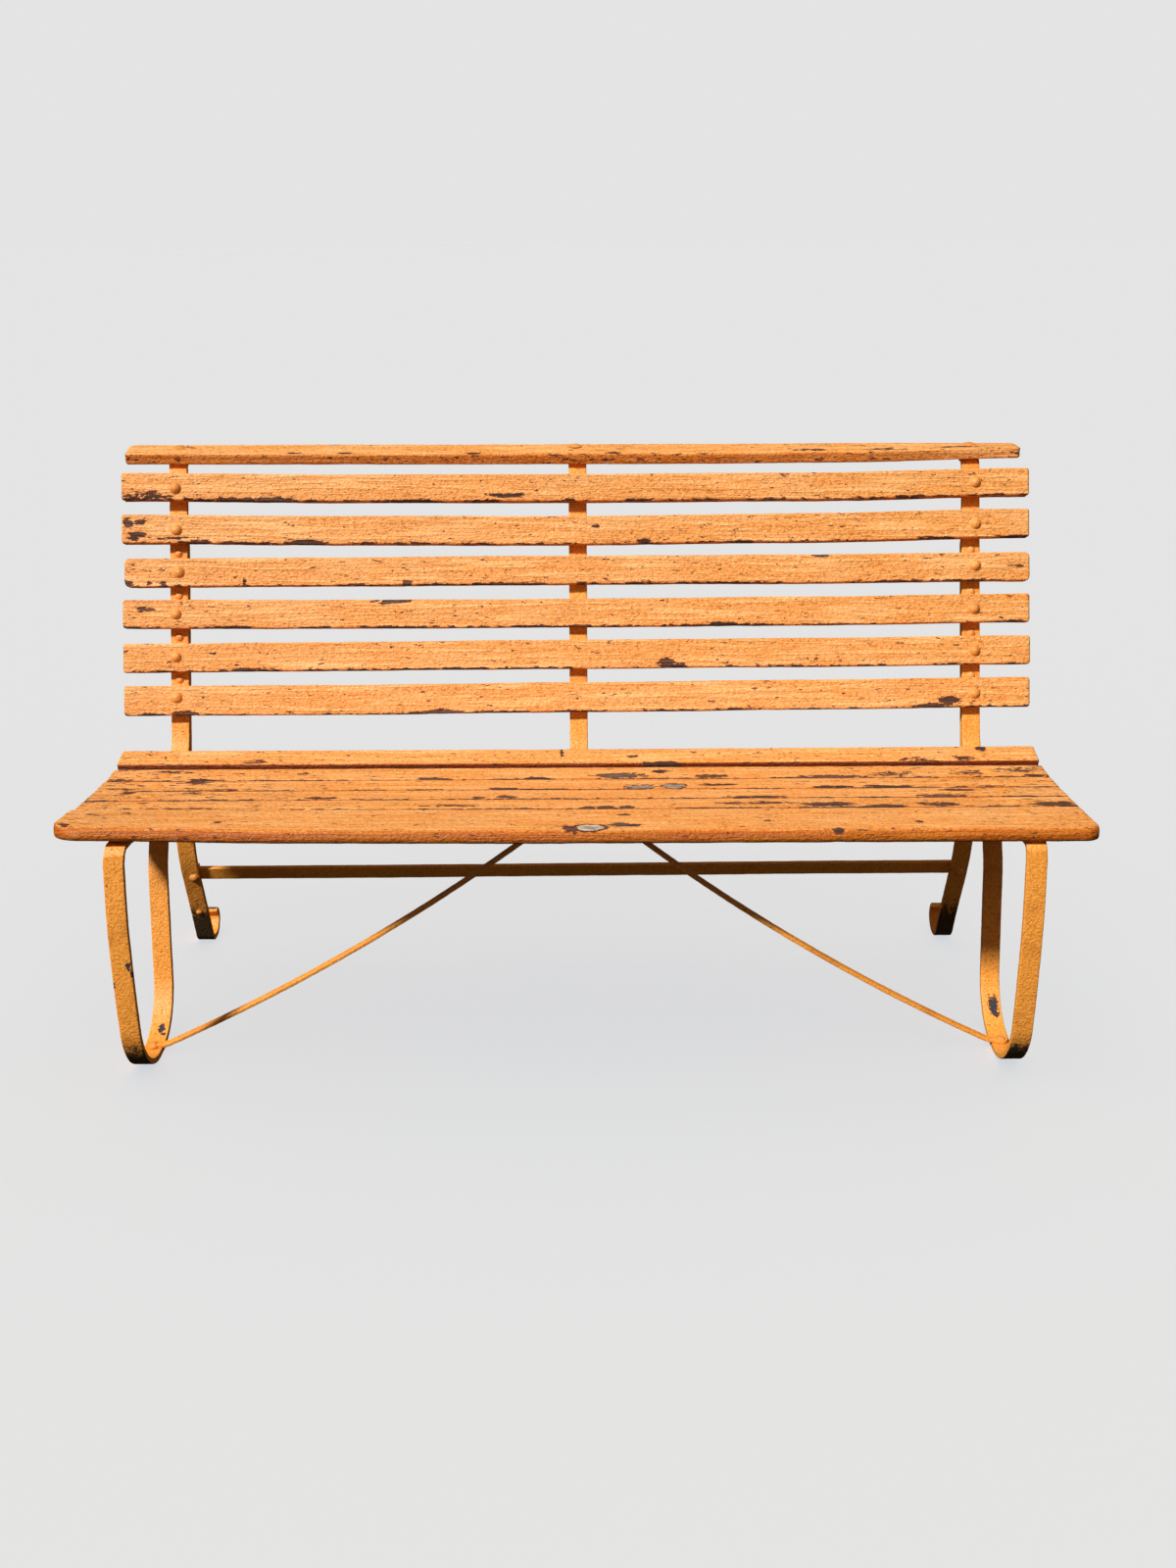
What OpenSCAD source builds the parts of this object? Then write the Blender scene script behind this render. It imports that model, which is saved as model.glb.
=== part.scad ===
// Slatted garden bench with a reclined back, on bent flat-bar iron side frames.
// Millimetres, +Z up, the sitter faces -Y, origin on the ground under the middle of the bench.
// Each side frame is one flat bar that makes the front leg loop, the seat bearer and the back
// upright, with a second bar riveted behind the upright that runs down as the rear leg.

/* [Timber] */
// length of the back slats and seat boards
slat_l = 1620; // [1200:10:2000]
// width of a back slat
slat_w = 51; // [40:1:70]
// thickness of a back slat and of the top rail
slat_t = 20; // [16:1:28]
// spacing of the back slats along the upright
slat_pitch = 75.2; // [60:0.1:90]
// number of back slats
slat_n = 6; // [6:1:6]
// length of the top rail
rail_l = 1600; // [1200:10:2000]
// width of a middle seat board
board_w = 57; // [45:1:70]
// width of the front seat board, over its round nose
front_w = 127; // [100:1:140]
// width of the raised rear seat slat
rear_w = 50; // [40:1:60]
// thickness of the seat boards
board_t = 22; // [18:1:28]
// gap between two seat boards
board_gap = 3; // [1:0.5:8]
// plan radius of the front board's corners
nose_r = 27; // [10:1:40]

/* [Flat bar] */
// width of the flat bar
bar_w = 32; // [25:1:40]
// thickness of the flat bar
bar_t = 10; // [6:0.5:12]
// distance between the middles of the two side frames
frame_s = 1424; // [1000:1:1700]
// recline of the back from upright, degrees
recline = 18.2; // [5:0.1:30]
// fall of the seat toward the back, degrees
seat_fall = 4.2; // [0:0.1:10]
// height of the straight run of a front leg
arm_l = 297; // [250:1:360]
// width of the cross bar between the rear legs
cross_w = 28; // [20:1:40]
// thickness of the cross bar
cross_t = 8; // [5:0.5:12]
// width of a diagonal stay
stay_w = 14; // [10:1:20]
// thickness of a diagonal stay
stay_t = 6; // [4:0.5:8]

/* [Fasteners] */
// head diameter of a carriage bolt
head_d = 22; // [16:1:26]
// shank diameter of a carriage bolt
bolt_d = 9; // [6:0.5:12]
// clearance around a shank
play = 0.4; // [0.2:0.1:1]
// head diameter of a rivet
rivet_d = 14; // [10:1:18]

/* [Hidden] */
$fn = 48;
paint = [0.93, 0.62, 0.31];
iron = [0.88, 0.56, 0.25];
studs = [0.82, 0.50, 0.22];
// middle of the front loop's flat foot, front to back
foot_y = -223.3;
// half the flat where a foot meets the ground
foot_flat = 10;
side_x = frame_s / 2;

// A bar's line is a list of [length, turn] runs walked from a [y, z, heading] state.
function turned(s, run) =
    let (r = run[0] / (run[1] * PI / 180), a = s[2] + run[1])
    [s[0] + r * (sin(a) - sin(s[2])), s[1] + r * (cos(s[2]) - cos(a)), a];
function ahead(s, run) =
    run[1] == 0 ? [s[0] + run[0] * cos(s[2]), s[1] + run[0] * sin(s[2]), s[2]] : turned(s, run);
function part_run(run, k) = [run[0] * k, run[1] * k];
function cuts(run) = run[1] == 0 ? 1 : max(ceil(abs(run[1]) / 4), ceil(run[0] / 25));
function line_pts(s, runs, i = 0) =
    i == len(runs) ? [s] : concat(
        [for (k = [0:cuts(runs[i]) - 1]) ahead(s, part_run(runs[i], k / cuts(runs[i])))],
        line_pts(ahead(s, runs[i]), runs, i + 1));
function line_end(s, runs, i = 0) = i == len(runs) ? s : line_end(ahead(s, runs[i]), runs, i + 1);
function state_at(s, runs, d, i = 0) =
    d <= runs[i][0] ? ahead(s, part_run(runs[i], d / runs[i][0]))
    : state_at(ahead(s, runs[i]), runs, d - runs[i][0], i + 1);
// side is 1 for a point to the left of the walk and -1 for one to the right
function off(s, side, t) = [s[0] - side * t * sin(s[2]), s[1] + side * t * cos(s[2])];
function backward(v) = [for (i = [len(v) - 1:-1:0]) v[i]];
function arc(r, turn) = [r * PI / 180 * abs(turn), turn];

// The main line runs on the outer face of the bar: loop foot, front leg, seat, back, rail.
front_arc = arc(102, -86.5);
arm_run = [arm_l, -10.8];
front_bend = arc(20, -82.7 - seat_fall);
seat_run = [106.7, 0];
// length over which the bar turns up between the last flat board and the rear slat
rise_run = 19;
to_seat = [[foot_flat, 0], front_arc, arm_run, front_bend, seat_run];
seat_runs = [
    [2 * board_w + board_gap, 0], [board_gap, 2],
    [board_w, 0], [board_gap, 4.2],
    [board_w, 0], [rise_run, 11.7],
    [rear_w + 3, 0]];
rear_slope = 13.7 + 4.2 - seat_fall;
back_bend = arc(50, 90 - recline - rear_slope);
back_run = [482, 0];
roll = arc(18, recline + 5 - 90);
rail_run = [25, 0];
main = concat(to_seat, seat_runs, [back_bend, back_run, roll, rail_run]);
foot = [foot_y, 0, 180];
seat_d = foot_flat + front_arc[0] + arm_l + front_bend[0] + seat_run[0];
function board_d(k) = seat_d + (board_w + board_gap) * k + board_w / 2;
rear_d = seat_d + 4 * board_w + 3 * board_gap + rise_run + rear_w / 2;
back_d = seat_d + 4 * board_w + 3 * board_gap + rise_run + rear_w + 3 + back_bend[0];
function slat_d(k) = back_d + 69.5 + slat_pitch * k;
rail_d = back_d + back_run[0] + roll[0] + 11;
front_d = seat_d - board_gap - 28;
// A board's state: where its underside meets the bar, and the slope there
function on_bar(d) = state_at(foot, main, d);

// back leg of the front loop, walked backward from the foot
loop_foot = [[foot_flat, 0], arc(114, 78), [168, 0], arc(120, -14)];
loop_head = [arc(16, -62), [38, 0]];
// its upper end stops just short of the bearer's underside, so the last rise is worked out
function loop_gap(n) =
    let (b = off(on_bar(board_d(3)), -1, bar_t + 0.4),
        e = off(line_end([foot_y, 0, 0], concat(loop_foot, loop_head)), 1, bar_t))
    (b[0] - e[0]) * -sin(n) + (b[1] - e[1]) * cos(n);
loop_runs = concat(loop_foot, [[loop_gap(2) / sin(62), 0]], loop_head);

// rear leg, walked down from its top end on the back of the upright
leg_top = slat_d(3) + slat_pitch / 2 + 20;
function upright_back(d) = let (s = on_bar(d)) concat(off(s, -1, bar_t), [s[2] - 180]);
leg_start = upright_back(leg_top);
leg_drop = (leg_start[1] - 390) / cos(recline);
leg_bow = arc(300, recline + 23);
leg_knee = line_end(leg_start, [[leg_drop, 0], leg_bow]);
foot_rise = 30 * (cos(20) - cos(67)) + 38 * (1 - cos(20));
leg_shin = (leg_knee[1] - foot_rise) / sin(67);
leg_runs = [
    [leg_drop, 0], leg_bow, [leg_shin, 0],
    arc(30, 47), arc(38, 20), [6, 0], arc(38, 60), arc(24, 100)];
cross_at = state_at(leg_start, leg_runs, leg_drop + leg_bow[0] + 11);

// diagonal stay, walked in its own upright plane from the loop foot to the middle bearer
stay_top = on_bar(seat_d + 62);
stay_run_y = stay_top[0] - foot_y - 6;
stay_turn = atan2(stay_run_y, side_x);
stay_plan = norm([stay_run_y, side_x]);
stay_foot = [0, bar_t + 0.2, 0];
// the right stay's upper eye lies under the left one, so its long run is a little shorter
function stay_runs(side) = [[32, 0], arc(64, 26), [side < 0 ? 699.5 : 686.5, 9], arc(50, -35)];

// ---- placing ----
// lays children on the bar: local Y runs along the bar and local Z points out of its outer face
module on_face(s, x = 0) {
    translate([x, s[0], s[1]]) rotate([s[2], 0, 0]) children();
}

// a flat bar from its side outline
module flat_bar(pts, w, x = 0) {
    translate([x, 0, 0]) rotate([90, 0, 90]) linear_extrude(w, center = true) polygon(pts);
}

module drill(d, depth) {
    translate([0, 0, -depth]) cylinder(d = d, h = 2 * depth);
}

// ---- timber ----
// rounded rectangle standing on its lower edge
module soft_section(w, t, r) {
    translate([-w / 2 + r, 0]) square([w - 2 * r, t]);
    translate([-w / 2, r]) square([w, t - 2 * r]);
    for (x = [-1, 1], y = [r, t - r])
        translate([x * (w / 2 - r), y]) circle(r);
}

module timber(l, w, t, r) {
    rotate([90, 0, 90]) linear_extrude(l, center = true) soft_section(w, t, r);
}

// one back slat, drilled for a bolt at each side frame and a pilot at the middle
module back_slat(k) {
    color(paint) on_face(on_bar(slat_d(slat_n - k))) difference() {
        timber(slat_l, slat_w, slat_t, 3);
        for (x = [-side_x, side_x]) translate([x, 0, 0]) drill(bolt_d + 2 * play, 60);
        drill(4.4, 15);
    }
}

module seat_board(s, w) {
    color(paint) on_face(s) difference() {
        timber(slat_l, w, board_t, 3);
        for (x = [-side_x, side_x]) translate([x, 0, 0]) drill(bolt_d + 2 * play, 60);
        drill(4.4, 15);
    }
}

module top_rail() {
    color(paint) on_face(on_bar(rail_d)) difference() {
        translate([0, -9, 0]) timber(rail_l, slat_w, slat_t, 5);
        for (x = [-side_x, 0, side_x]) translate([x, 0, 0]) drill(bolt_d + 2 * play, 60);
    }
}

// front board with a round nose and round plan corners, local Y backward
module nose_section() {
    r = board_t / 2;
    translate([-front_w + r, 0]) square([front_w - r - 3, board_t]);
    translate([-front_w + r, 3]) square([front_w - r, board_t - 6]);
    translate([-front_w + r, r]) circle(r);
    for (y = [3, board_t - 3]) translate([-3, y]) circle(3);
}

module nose_plan() {
    translate([-slat_l / 2, -front_w + nose_r]) square([slat_l, front_w - nose_r]);
    translate([-slat_l / 2 + nose_r, -front_w]) square([slat_l - 2 * nose_r, front_w]);
    for (x = [-1, 1])
        translate([x * (slat_l / 2 - nose_r), -front_w + nose_r]) circle(nose_r, $fn = 96);
}

module seat_front_board() {
    color(paint) on_face(on_bar(seat_d - board_gap)) difference() {
        intersection() {
            rotate([90, 0, 90]) linear_extrude(slat_l + 2, center = true) nose_section();
            translate([0, 0, -1]) linear_extrude(board_t + 2) nose_plan();
        }
        for (x = [-side_x, side_x]) translate([x, -28, 0]) drill(bolt_d + 2 * play, 60);
        translate([0, -28, 0]) drill(4.4, 15);
    }
}

// ---- iron ----
// outline of the bar that makes the front loop, the seat bearer and the back upright
function side_outline() =
    let (up = line_pts(foot, main), back = line_pts([foot_y, 0, 0], loop_runs))
    concat(
        backward([for (i = [1:len(back) - 1]) [back[i][0], back[i][1]]]),
        [for (s = up) [s[0], s[1]]],
        backward([for (i = [1:len(up) - 1]) off(up[i], -1, bar_t)]),
        [for (s = back) off(s, 1, bar_t)]);

module side_bar(x) {
    color(iron) difference() {
        flat_bar(side_outline(), bar_w, x);
        for (k = [0:slat_n - 1]) on_face(on_bar(slat_d(k)), x) drill(bolt_d + 2 * play, 14);
        for (k = [0:3]) on_face(on_bar(board_d(k)), x) drill(bolt_d + 2 * play, 24);
        for (d = [front_d, rear_d, rail_d]) on_face(on_bar(d), x) drill(bolt_d + 2 * play, 14);
        for (k = [0:3])
            on_face(on_bar(slat_d(k) + slat_pitch / 2), x) drill(6 + 2 * play, 14);
        translate([x, foot_y + 6, 0]) cylinder(d = 7.8, h = 30, center = true);
    }
}

// middle bar: a seat bearer and upright with no legs of its own
module centre_bar() {
    start = on_bar(seat_d - 92);
    runs = concat([[92, 0]], seat_runs, [back_bend, back_run, roll, rail_run]);
    up = line_pts(start, runs);
    color(iron) difference() {
        flat_bar(concat([for (s = up) [s[0], s[1]]], backward([for (s = up) off(s, -1, bar_t)])), bar_w);
        for (k = [0:slat_n - 1]) on_face(on_bar(slat_d(k))) drill(5.6, 14);
        for (k = [0:3]) on_face(on_bar(board_d(k))) drill(5.6, 14);
        for (d = [front_d, rear_d]) on_face(on_bar(d)) drill(5.6, 14);
        on_face(on_bar(rail_d)) drill(bolt_d + 2 * play, 14);
        translate([0, stay_top[0], stay_top[1]]) {
            translate([0, 0, -20]) cylinder(d = 8.8, h = 40);
            translate([0, 0, -5.2]) cylinder(d1 = 8.6, d2 = 17, h = 4.4);
            translate([0, 0, -0.8]) cylinder(d = 17, h = 3);
        }
    }
}

module rear_leg(x) {
    pts = line_pts(leg_start, leg_runs);
    color(iron) difference() {
        flat_bar(concat([for (s = pts) [s[0], s[1]]], backward([for (s = pts) off(s, 1, bar_t)])), bar_w, x);
        for (k = [0:slat_n - 1]) on_face(on_bar(slat_d(k)), x) drill(bolt_d + 2 * play, 30);
        for (k = [0:3])
            on_face(on_bar(slat_d(k) + slat_pitch / 2), x) drill(6 + 2 * play, 30);
        on_face(cross_at, x) drill(bolt_d + 2 * play, 30);
    }
}

// flat bar laid across the backs of the two rear legs
module rear_cross_bar() {
    color(iron) on_face(cross_at) difference() {
        translate([-side_x - bar_w / 2, -cross_w / 2, bar_t + 0.2]) cube([frame_s + bar_w, cross_w, cross_t]);
        for (x = [-side_x, side_x]) translate([x, 0, 0]) drill(bolt_d + 2 * play, 40);
    }
}

// stay from a loop foot up to the middle bearer, with flattened round eyes at both ends
module stay(side) {
    top = line_end(stay_foot, stay_runs(side));
    pts = line_pts(stay_foot, concat(stay_runs(side), [[stay_plan - top[0], 0]]));
    outline = concat([for (s = pts) [s[0], s[1]]], backward([for (s = pts) off(s, 1, stay_t)]));
    color(iron) translate([side * side_x, foot_y + 6, 0])
        rotate([0, 0, side < 0 ? stay_turn : 180 - stay_turn]) difference() {
            union() {
                rotate([90, 0, 0]) linear_extrude(stay_w, center = true) polygon(outline);
                translate([0, 0, stay_foot[1]]) cylinder(d = 25, h = stay_t);
                translate([stay_plan, 0, top[1]]) cylinder(d = 25, h = stay_t);
            }
            cylinder(d = 7.8, h = 40);
            translate([stay_plan, 0, top[1] - 10]) cylinder(d = 9.4, h = 40);
        }
}

// ---- fasteners, all modelled along local Z with the head outward ----
module dome(d, h) {
    r = (d * d / 4 + h * h) / (2 * h);
    intersection() {
        translate([0, 0, h - r]) sphere(r);
        cylinder(d = d + 1, h = h + 1);
    }
}

// carriage bolt: domed head on the face at height z, shank going down by reach
module carriage_bolt(z, reach, d = bolt_d, head = head_d, rise = 5) {
    translate([0, 0, z]) dome(head, rise);
    translate([0, 0, z - reach]) cylinder(d = d, h = reach + 0.5);
}

// square nut threaded on the shank, top face at height z
module square_nut(z, d = bolt_d, af = 16, h = 7) {
    difference() {
        translate([-af / 2, -af / 2, z - h]) cube([af, af, h]);
        translate([0, 0, z - h - 1]) cylinder(d = d + 0.3, h = h + 2);
    }
}

module washer(z, d = bolt_d) {
    difference() {
        translate([0, 0, z - 2]) cylinder(d = 22, h = 2);
        translate([0, 0, z - 3]) cylinder(d = d + 0.8, h = 4);
    }
}

module countersunk_screw(z, reach) {
    translate([0, 0, z]) rotate([180, 0, 0]) dome(9, 2.5);
    translate([0, 0, z - 0.2]) cylinder(d = 4, h = reach + 0.2);
}

module rivet(front, back) {
    translate([0, 0, front]) dome(rivet_d, 4);
    translate([0, 0, back]) cylinder(d = 6, h = front - back + 0.5);
    translate([0, 0, back]) rotate([180, 0, 0]) dome(rivet_d, 4);
}

// how far the iron reaches behind the outer face at a back slat
function iron_back(k) = k < 4 ? 2 * bar_t : bar_t;

module back_bolts(x) {
    color(studs) for (k = [0:slat_n - 1])
        on_face(on_bar(slat_d(k)), x) carriage_bolt(slat_t, slat_t + iron_back(k) + 14);
}

module back_nuts(x) {
    color(studs) for (k = [0:slat_n - 1]) on_face(on_bar(slat_d(k)), x) {
        washer(-iron_back(k));
        square_nut(-iron_back(k) - 2);
    }
}

// iron under a seat board: the bearer, and the loop's end under the rearmost flat board
function iron_under(k) = k == 3 ? 2 * bar_t : bar_t;

module seat_bolts(x) {
    color(studs) {
        for (k = [0:3])
            on_face(on_bar(board_d(k)), x) carriage_bolt(board_t, board_t + iron_under(k) + 14, rise = 2.5);
        for (d = [front_d, rear_d])
            on_face(on_bar(d), x) carriage_bolt(board_t, board_t + bar_t + 12, rise = 2.5);
    }
}

module seat_nuts(x) {
    color(studs) {
        for (k = [0:3]) on_face(on_bar(board_d(k)), x) square_nut(-iron_under(k) - 0.5);
        for (d = [front_d, rear_d]) on_face(on_bar(d), x) square_nut(-bar_t);
    }
}

module rail_bolts() {
    color(studs) for (x = [-side_x, 0, side_x])
        on_face(on_bar(rail_d), x) carriage_bolt(slat_t, slat_t + bar_t + 12, rise = 3);
}

module rail_nuts() {
    color(studs) for (x = [-side_x, 0, side_x]) on_face(on_bar(rail_d), x) square_nut(-bar_t);
}

module centre_back_screws() {
    color(studs) for (k = [0:slat_n - 1]) on_face(on_bar(slat_d(k))) countersunk_screw(-bar_t, bar_t + 13);
}

module centre_seat_screws() {
    color(studs) for (d = concat([for (k = [0:3]) board_d(k)], [front_d, rear_d]))
        on_face(on_bar(d)) countersunk_screw(-bar_t, bar_t + 13);
}

module leg_rivets(x) {
    color(studs) {
        for (k = [0:3])
            on_face(on_bar(slat_d(k) + slat_pitch / 2), x) rivet(0, -2 * bar_t);
    }
}

module cross_bar_bolts() {
    color(studs) for (x = [-side_x, side_x])
        on_face(cross_at, x) rotate([180, 0, 0])
            carriage_bolt(0, bar_t + cross_t + 14, head = 18);
}

module cross_bar_nuts() {
    color(studs) for (x = [-side_x, side_x])
        on_face(cross_at, x) rotate([180, 0, 0]) square_nut(-bar_t - cross_t - 0.5);
}

module stay_foot_rivets() {
    color(studs) for (x = [-side_x, side_x]) translate([x, foot_y + 6, 0]) {
        translate([0, 0, bar_t + stay_t + 0.3]) dome(16, 4);
        translate([0, 0, 0.8]) cylinder(d = 7, h = bar_t + stay_t);
    }
}

module stay_top_bolt() {
    color(studs) translate([0, stay_top[0], stay_top[1]]) {
        translate([0, 0, -5.4]) cylinder(d1 = 8, d2 = 16, h = 4.2);
        translate([0, 0, -34]) cylinder(d = 8, h = 30);
    }
}

module stay_top_nut() {
    color(studs) translate([0, stay_top[0], stay_top[1]])
        square_nut(-bar_t - 2 * stay_t - 2, d = 8, af = 14, h = 6);
}

top_rail();
back_slat(1);  // back_slat_1
back_slat(2);  // back_slat_2
back_slat(3);  // back_slat_3
back_slat(4);  // back_slat_4
back_slat(5);  // back_slat_5
back_slat(6);  // back_slat_6
seat_board(on_bar(rear_d), rear_w);  // seat_rear_slat
seat_board(on_bar(board_d(3)), board_w);  // seat_board_1
seat_board(on_bar(board_d(2)), board_w);  // seat_board_2
seat_board(on_bar(board_d(1)), board_w);  // seat_board_3
seat_board(on_bar(board_d(0)), board_w);  // seat_board_4
seat_front_board();
side_bar(-side_x);  // left_side_bar
side_bar(side_x);  // right_side_bar
centre_bar();
rear_leg(-side_x);  // left_rear_leg
rear_leg(side_x);  // right_rear_leg
rear_cross_bar();
stay(-1);  // left_stay
stay(1);  // right_stay
back_bolts(-side_x);  // left_back_bolts
back_bolts(side_x);  // right_back_bolts
back_nuts(-side_x);  // left_back_nuts
back_nuts(side_x);  // right_back_nuts
centre_back_screws();
rail_bolts();
rail_nuts();
seat_bolts(-side_x);  // left_seat_bolts
seat_bolts(side_x);  // right_seat_bolts
seat_nuts(-side_x);  // left_seat_nuts
seat_nuts(side_x);  // right_seat_nuts
centre_seat_screws();
leg_rivets(-side_x);  // left_leg_rivets
leg_rivets(side_x);  // right_leg_rivets
cross_bar_bolts();
cross_bar_nuts();
stay_foot_rivets();
stay_top_bolt();
stay_top_nut();
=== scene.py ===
"""Looks of a slatted garden bench: brush-painted timber on bent flat-bar iron frames.

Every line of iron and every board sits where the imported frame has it; the pieces here add the
hand-planed edges, paint lumps, chips and dirt that the frame leaves out.
"""

import math

import bmesh
import bpy
from bpy.props import FloatProperty, FloatVectorProperty, PointerProperty
from mathutils import Matrix, Vector, noise


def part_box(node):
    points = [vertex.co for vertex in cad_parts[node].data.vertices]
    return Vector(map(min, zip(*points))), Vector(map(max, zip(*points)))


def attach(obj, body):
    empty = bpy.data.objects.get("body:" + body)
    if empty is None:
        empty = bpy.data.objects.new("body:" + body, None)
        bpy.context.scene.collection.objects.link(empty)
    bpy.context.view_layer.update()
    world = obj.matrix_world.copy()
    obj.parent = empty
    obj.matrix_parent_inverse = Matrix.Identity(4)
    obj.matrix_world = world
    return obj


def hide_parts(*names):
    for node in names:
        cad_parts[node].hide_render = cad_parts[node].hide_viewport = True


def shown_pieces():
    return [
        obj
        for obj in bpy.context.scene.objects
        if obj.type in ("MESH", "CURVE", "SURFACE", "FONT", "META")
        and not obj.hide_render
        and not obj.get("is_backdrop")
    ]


bl_info = {
    "name": "Slatted Garden Bench",
    "version": (1, 0, 0),
    "blender": (4, 5, 0),
    "location": "3D View > Sidebar > Bench",
    "description": "Builds the painted timber and iron of a slatted garden bench on its frame",
    "category": "Object",
}

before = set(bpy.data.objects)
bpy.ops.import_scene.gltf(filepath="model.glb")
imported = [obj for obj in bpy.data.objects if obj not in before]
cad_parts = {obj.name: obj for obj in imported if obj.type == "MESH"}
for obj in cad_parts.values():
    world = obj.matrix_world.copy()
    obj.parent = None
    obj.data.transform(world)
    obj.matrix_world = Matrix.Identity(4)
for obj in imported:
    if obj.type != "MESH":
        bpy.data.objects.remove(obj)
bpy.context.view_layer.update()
MM = 0.001


def across(node, axis):
    """Length of a frame node's box along one axis, in metres."""
    low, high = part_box(node)
    return high[axis] - low[axis]


# ---------------------------------------------------------------- sizes and colours


def to_linear(hex_colour):
    """sRGB hex such as "F0A050" as a linear red, green, blue, alpha tuple."""
    parts = [int(hex_colour[i : i + 2], 16) / 255 for i in (0, 2, 4)]
    return tuple(c / 12.92 if c <= 0.04045 else ((c + 0.055) / 1.055) ** 2.4 for c in parts) + (1.0,)


def colour_prop(name, description, hex_colour):
    return FloatVectorProperty(name=name, description=description, subtype="COLOR", size=4, min=0.0,
                               max=1.0, default=to_linear(hex_colour))


def length_prop(name, description, default):
    return FloatProperty(name=name, description=description, default=default, min=0.0, unit="LENGTH")


def angle_prop(name, description, degrees):
    return FloatProperty(name=name, description=description, subtype="ANGLE", unit="ROTATION",
                         default=math.radians(degrees))


class BenchTimber(bpy.types.PropertyGroup):
    """Sizes of the slats and boards."""

    slat_length: length_prop("Slat length", "Length of a back slat", across("back_slat_1", 0))
    rail_length: length_prop("Rail length", "Length of the top rail", across("top_rail", 0))
    slat_width: length_prop("Slat width", "Width of a back slat and of the rail", 0.051)
    slat_thickness: length_prop("Slat thickness", "Thickness of a back slat and of the rail", 0.020)
    board_width: length_prop("Board width", "Width of a middle seat board", 0.057)
    rear_width: length_prop("Rear slat width", "Width of the raised rear seat slat", 0.050)
    front_width: length_prop("Front board width", "Width of the round-nosed front board", 0.127)
    board_thickness: length_prop("Board thickness", "Thickness of a seat board", 0.022)
    arris: length_prop("Arris", "Rounding of a board's long edges under the paint", 0.0028)
    lump: length_prop("Paint lumps", "Height of the lumps left by many coats of paint", 0.00035)


class BenchIron(bpy.types.PropertyGroup):
    """Sizes of the flat bar."""

    bar_width: length_prop("Bar width", "Width of the frame's flat bar", 0.032)
    bar_thickness: length_prop("Bar thickness", "Thickness of the frame's flat bar", 0.010)
    stay_width: length_prop("Stay width", "Width of a diagonal stay", 0.014)
    stay_thickness: length_prop("Stay thickness", "Thickness of a diagonal stay", 0.006)
    edge: length_prop("Edge rounding", "Rounding of the bar's edges under the paint", 0.0016)
    lump: length_prop("Paint lumps", "Height of the lumps left by many coats of paint", 0.00028)


class BenchPaint(bpy.types.PropertyGroup):
    """Colours of the finish and of what shows where it has chipped."""

    coat: colour_prop("Top coat", "Orange enamel in the open", "F8A350")
    # painted highlight: this lighter enamel goes on the raised strokes and lumps that the bump lifts, as well
    # as on faded patches
    light_coat_and_raised_highlight: colour_prop("Raised paint", "Enamel on the raised strokes and lumps", "FFC280")
    # painted shade: this darker enamel fills the hollows that the bump sinks, and it also draws the ring lines
    # and thin patches
    deep_coat_and_hollow_shade: colour_prop("Sunk paint", "Enamel in the hollows of the grain", "CC7A2C")
    iron_coat: colour_prop("Top coat on iron", "Orange enamel over the iron", "FFA53E")
    undercoat: colour_prop("Undercoat", "Maroon primer at the rim of a chip", "5E2416")
    bare_wood: colour_prop("Bare timber", "Dark weathered timber inside a chip", "3A241A")
    silver_wood: colour_prop("Silvered timber", "Grey worn timber in the deepest chip", "D2C6AE")
    bare_iron: colour_prop("Bare iron", "Oxidised iron inside a chip", "33303A")
    # painted shade: this tint darkens the boards' low and downward-facing sides where shade falls, along with
    # settled dirt
    soil: colour_prop("Soil", "Tint of the dust that has settled on the shaded edges", "D8AC00")
    grime: colour_prop("Grime", "Dirt and algae near the ground", "1E1C0E")


class BenchStage(bpy.types.PropertyGroup):
    """Camera, lights and floor."""

    camera_at: FloatVectorProperty(name="Camera place", description="Where the camera stands",
                                   size=3, subtype="TRANSLATION", unit="LENGTH",
                                   default=(0.0039, -2.7193, 1.3403))
    pitch: angle_prop("Look down", "How far the camera looks down from level", 19.128)
    turn: angle_prop("Look right", "How far the camera is turned to the right", 0.335)
    roll: angle_prop("Roll", "Roll of the camera about its own axis", -0.1954)
    lens: FloatProperty(name="Lens", description="Focal length for a 36 mm long side",
                        subtype="DISTANCE_CAMERA", unit="CAMERA", default=38.25)
    key: FloatProperty(name="Key light", description="Strength of the sun on the bench", default=4.4)
    fill: FloatProperty(name="Fill light", description="Brightness of the room", default=0.20)
    backdrop: colour_prop("Backdrop", "Pale grey of the floor and the backdrop", "E4E4E4")


GROUPS = {
    "bench_timber": BenchTimber,
    "bench_iron": BenchIron,
    "bench_paint": BenchPaint,
    "bench_stage": BenchStage,
}


# ---------------------------------------------------------------- the line of the bars
# A bar's line is walked from a (y, z, heading) state in millimetres and degrees by
# (length, turn) runs, the way a smith lays out the bends along a straight bar.

# the loop's foot touches the ground at FOOT_Y and is flat for twice FOOT_FLAT
FOOT_Y = -223.3
FOOT_FLAT = 10.0
BAR_T = 10.0
SIDE_X = (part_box("right_side_bar")[0][0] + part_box("right_side_bar")[1][0]) / 2 / MM
RECLINE = 18.2
SEAT_FALL = 4.2
BOARD_W, BOARD_T, BOARD_GAP = 57.0, 22.0, 3.0
REAR_W = 50.0
SLAT_T, SLAT_PITCH, FIRST_SLAT = 20.0, 75.2, 69.5
SIDES = (("left", -SIDE_X), ("right", SIDE_X))
STAY_Y = FOOT_Y + 6
# height of the rivet stub in the left shin, and how far a bolt passes the iron for its nut
STUB_HEIGHT = 78
NUT_REACH = 14
# how far a piece may stray from its node of the frame, in metres
LEEWAY = 0.010
# turns a stud over, so that it stands on the back of a bar
FLIP = Matrix.Rotation(math.pi, 4, "X")


def arc(radius, turn):
    return (math.radians(abs(turn)) * radius, turn)


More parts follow.
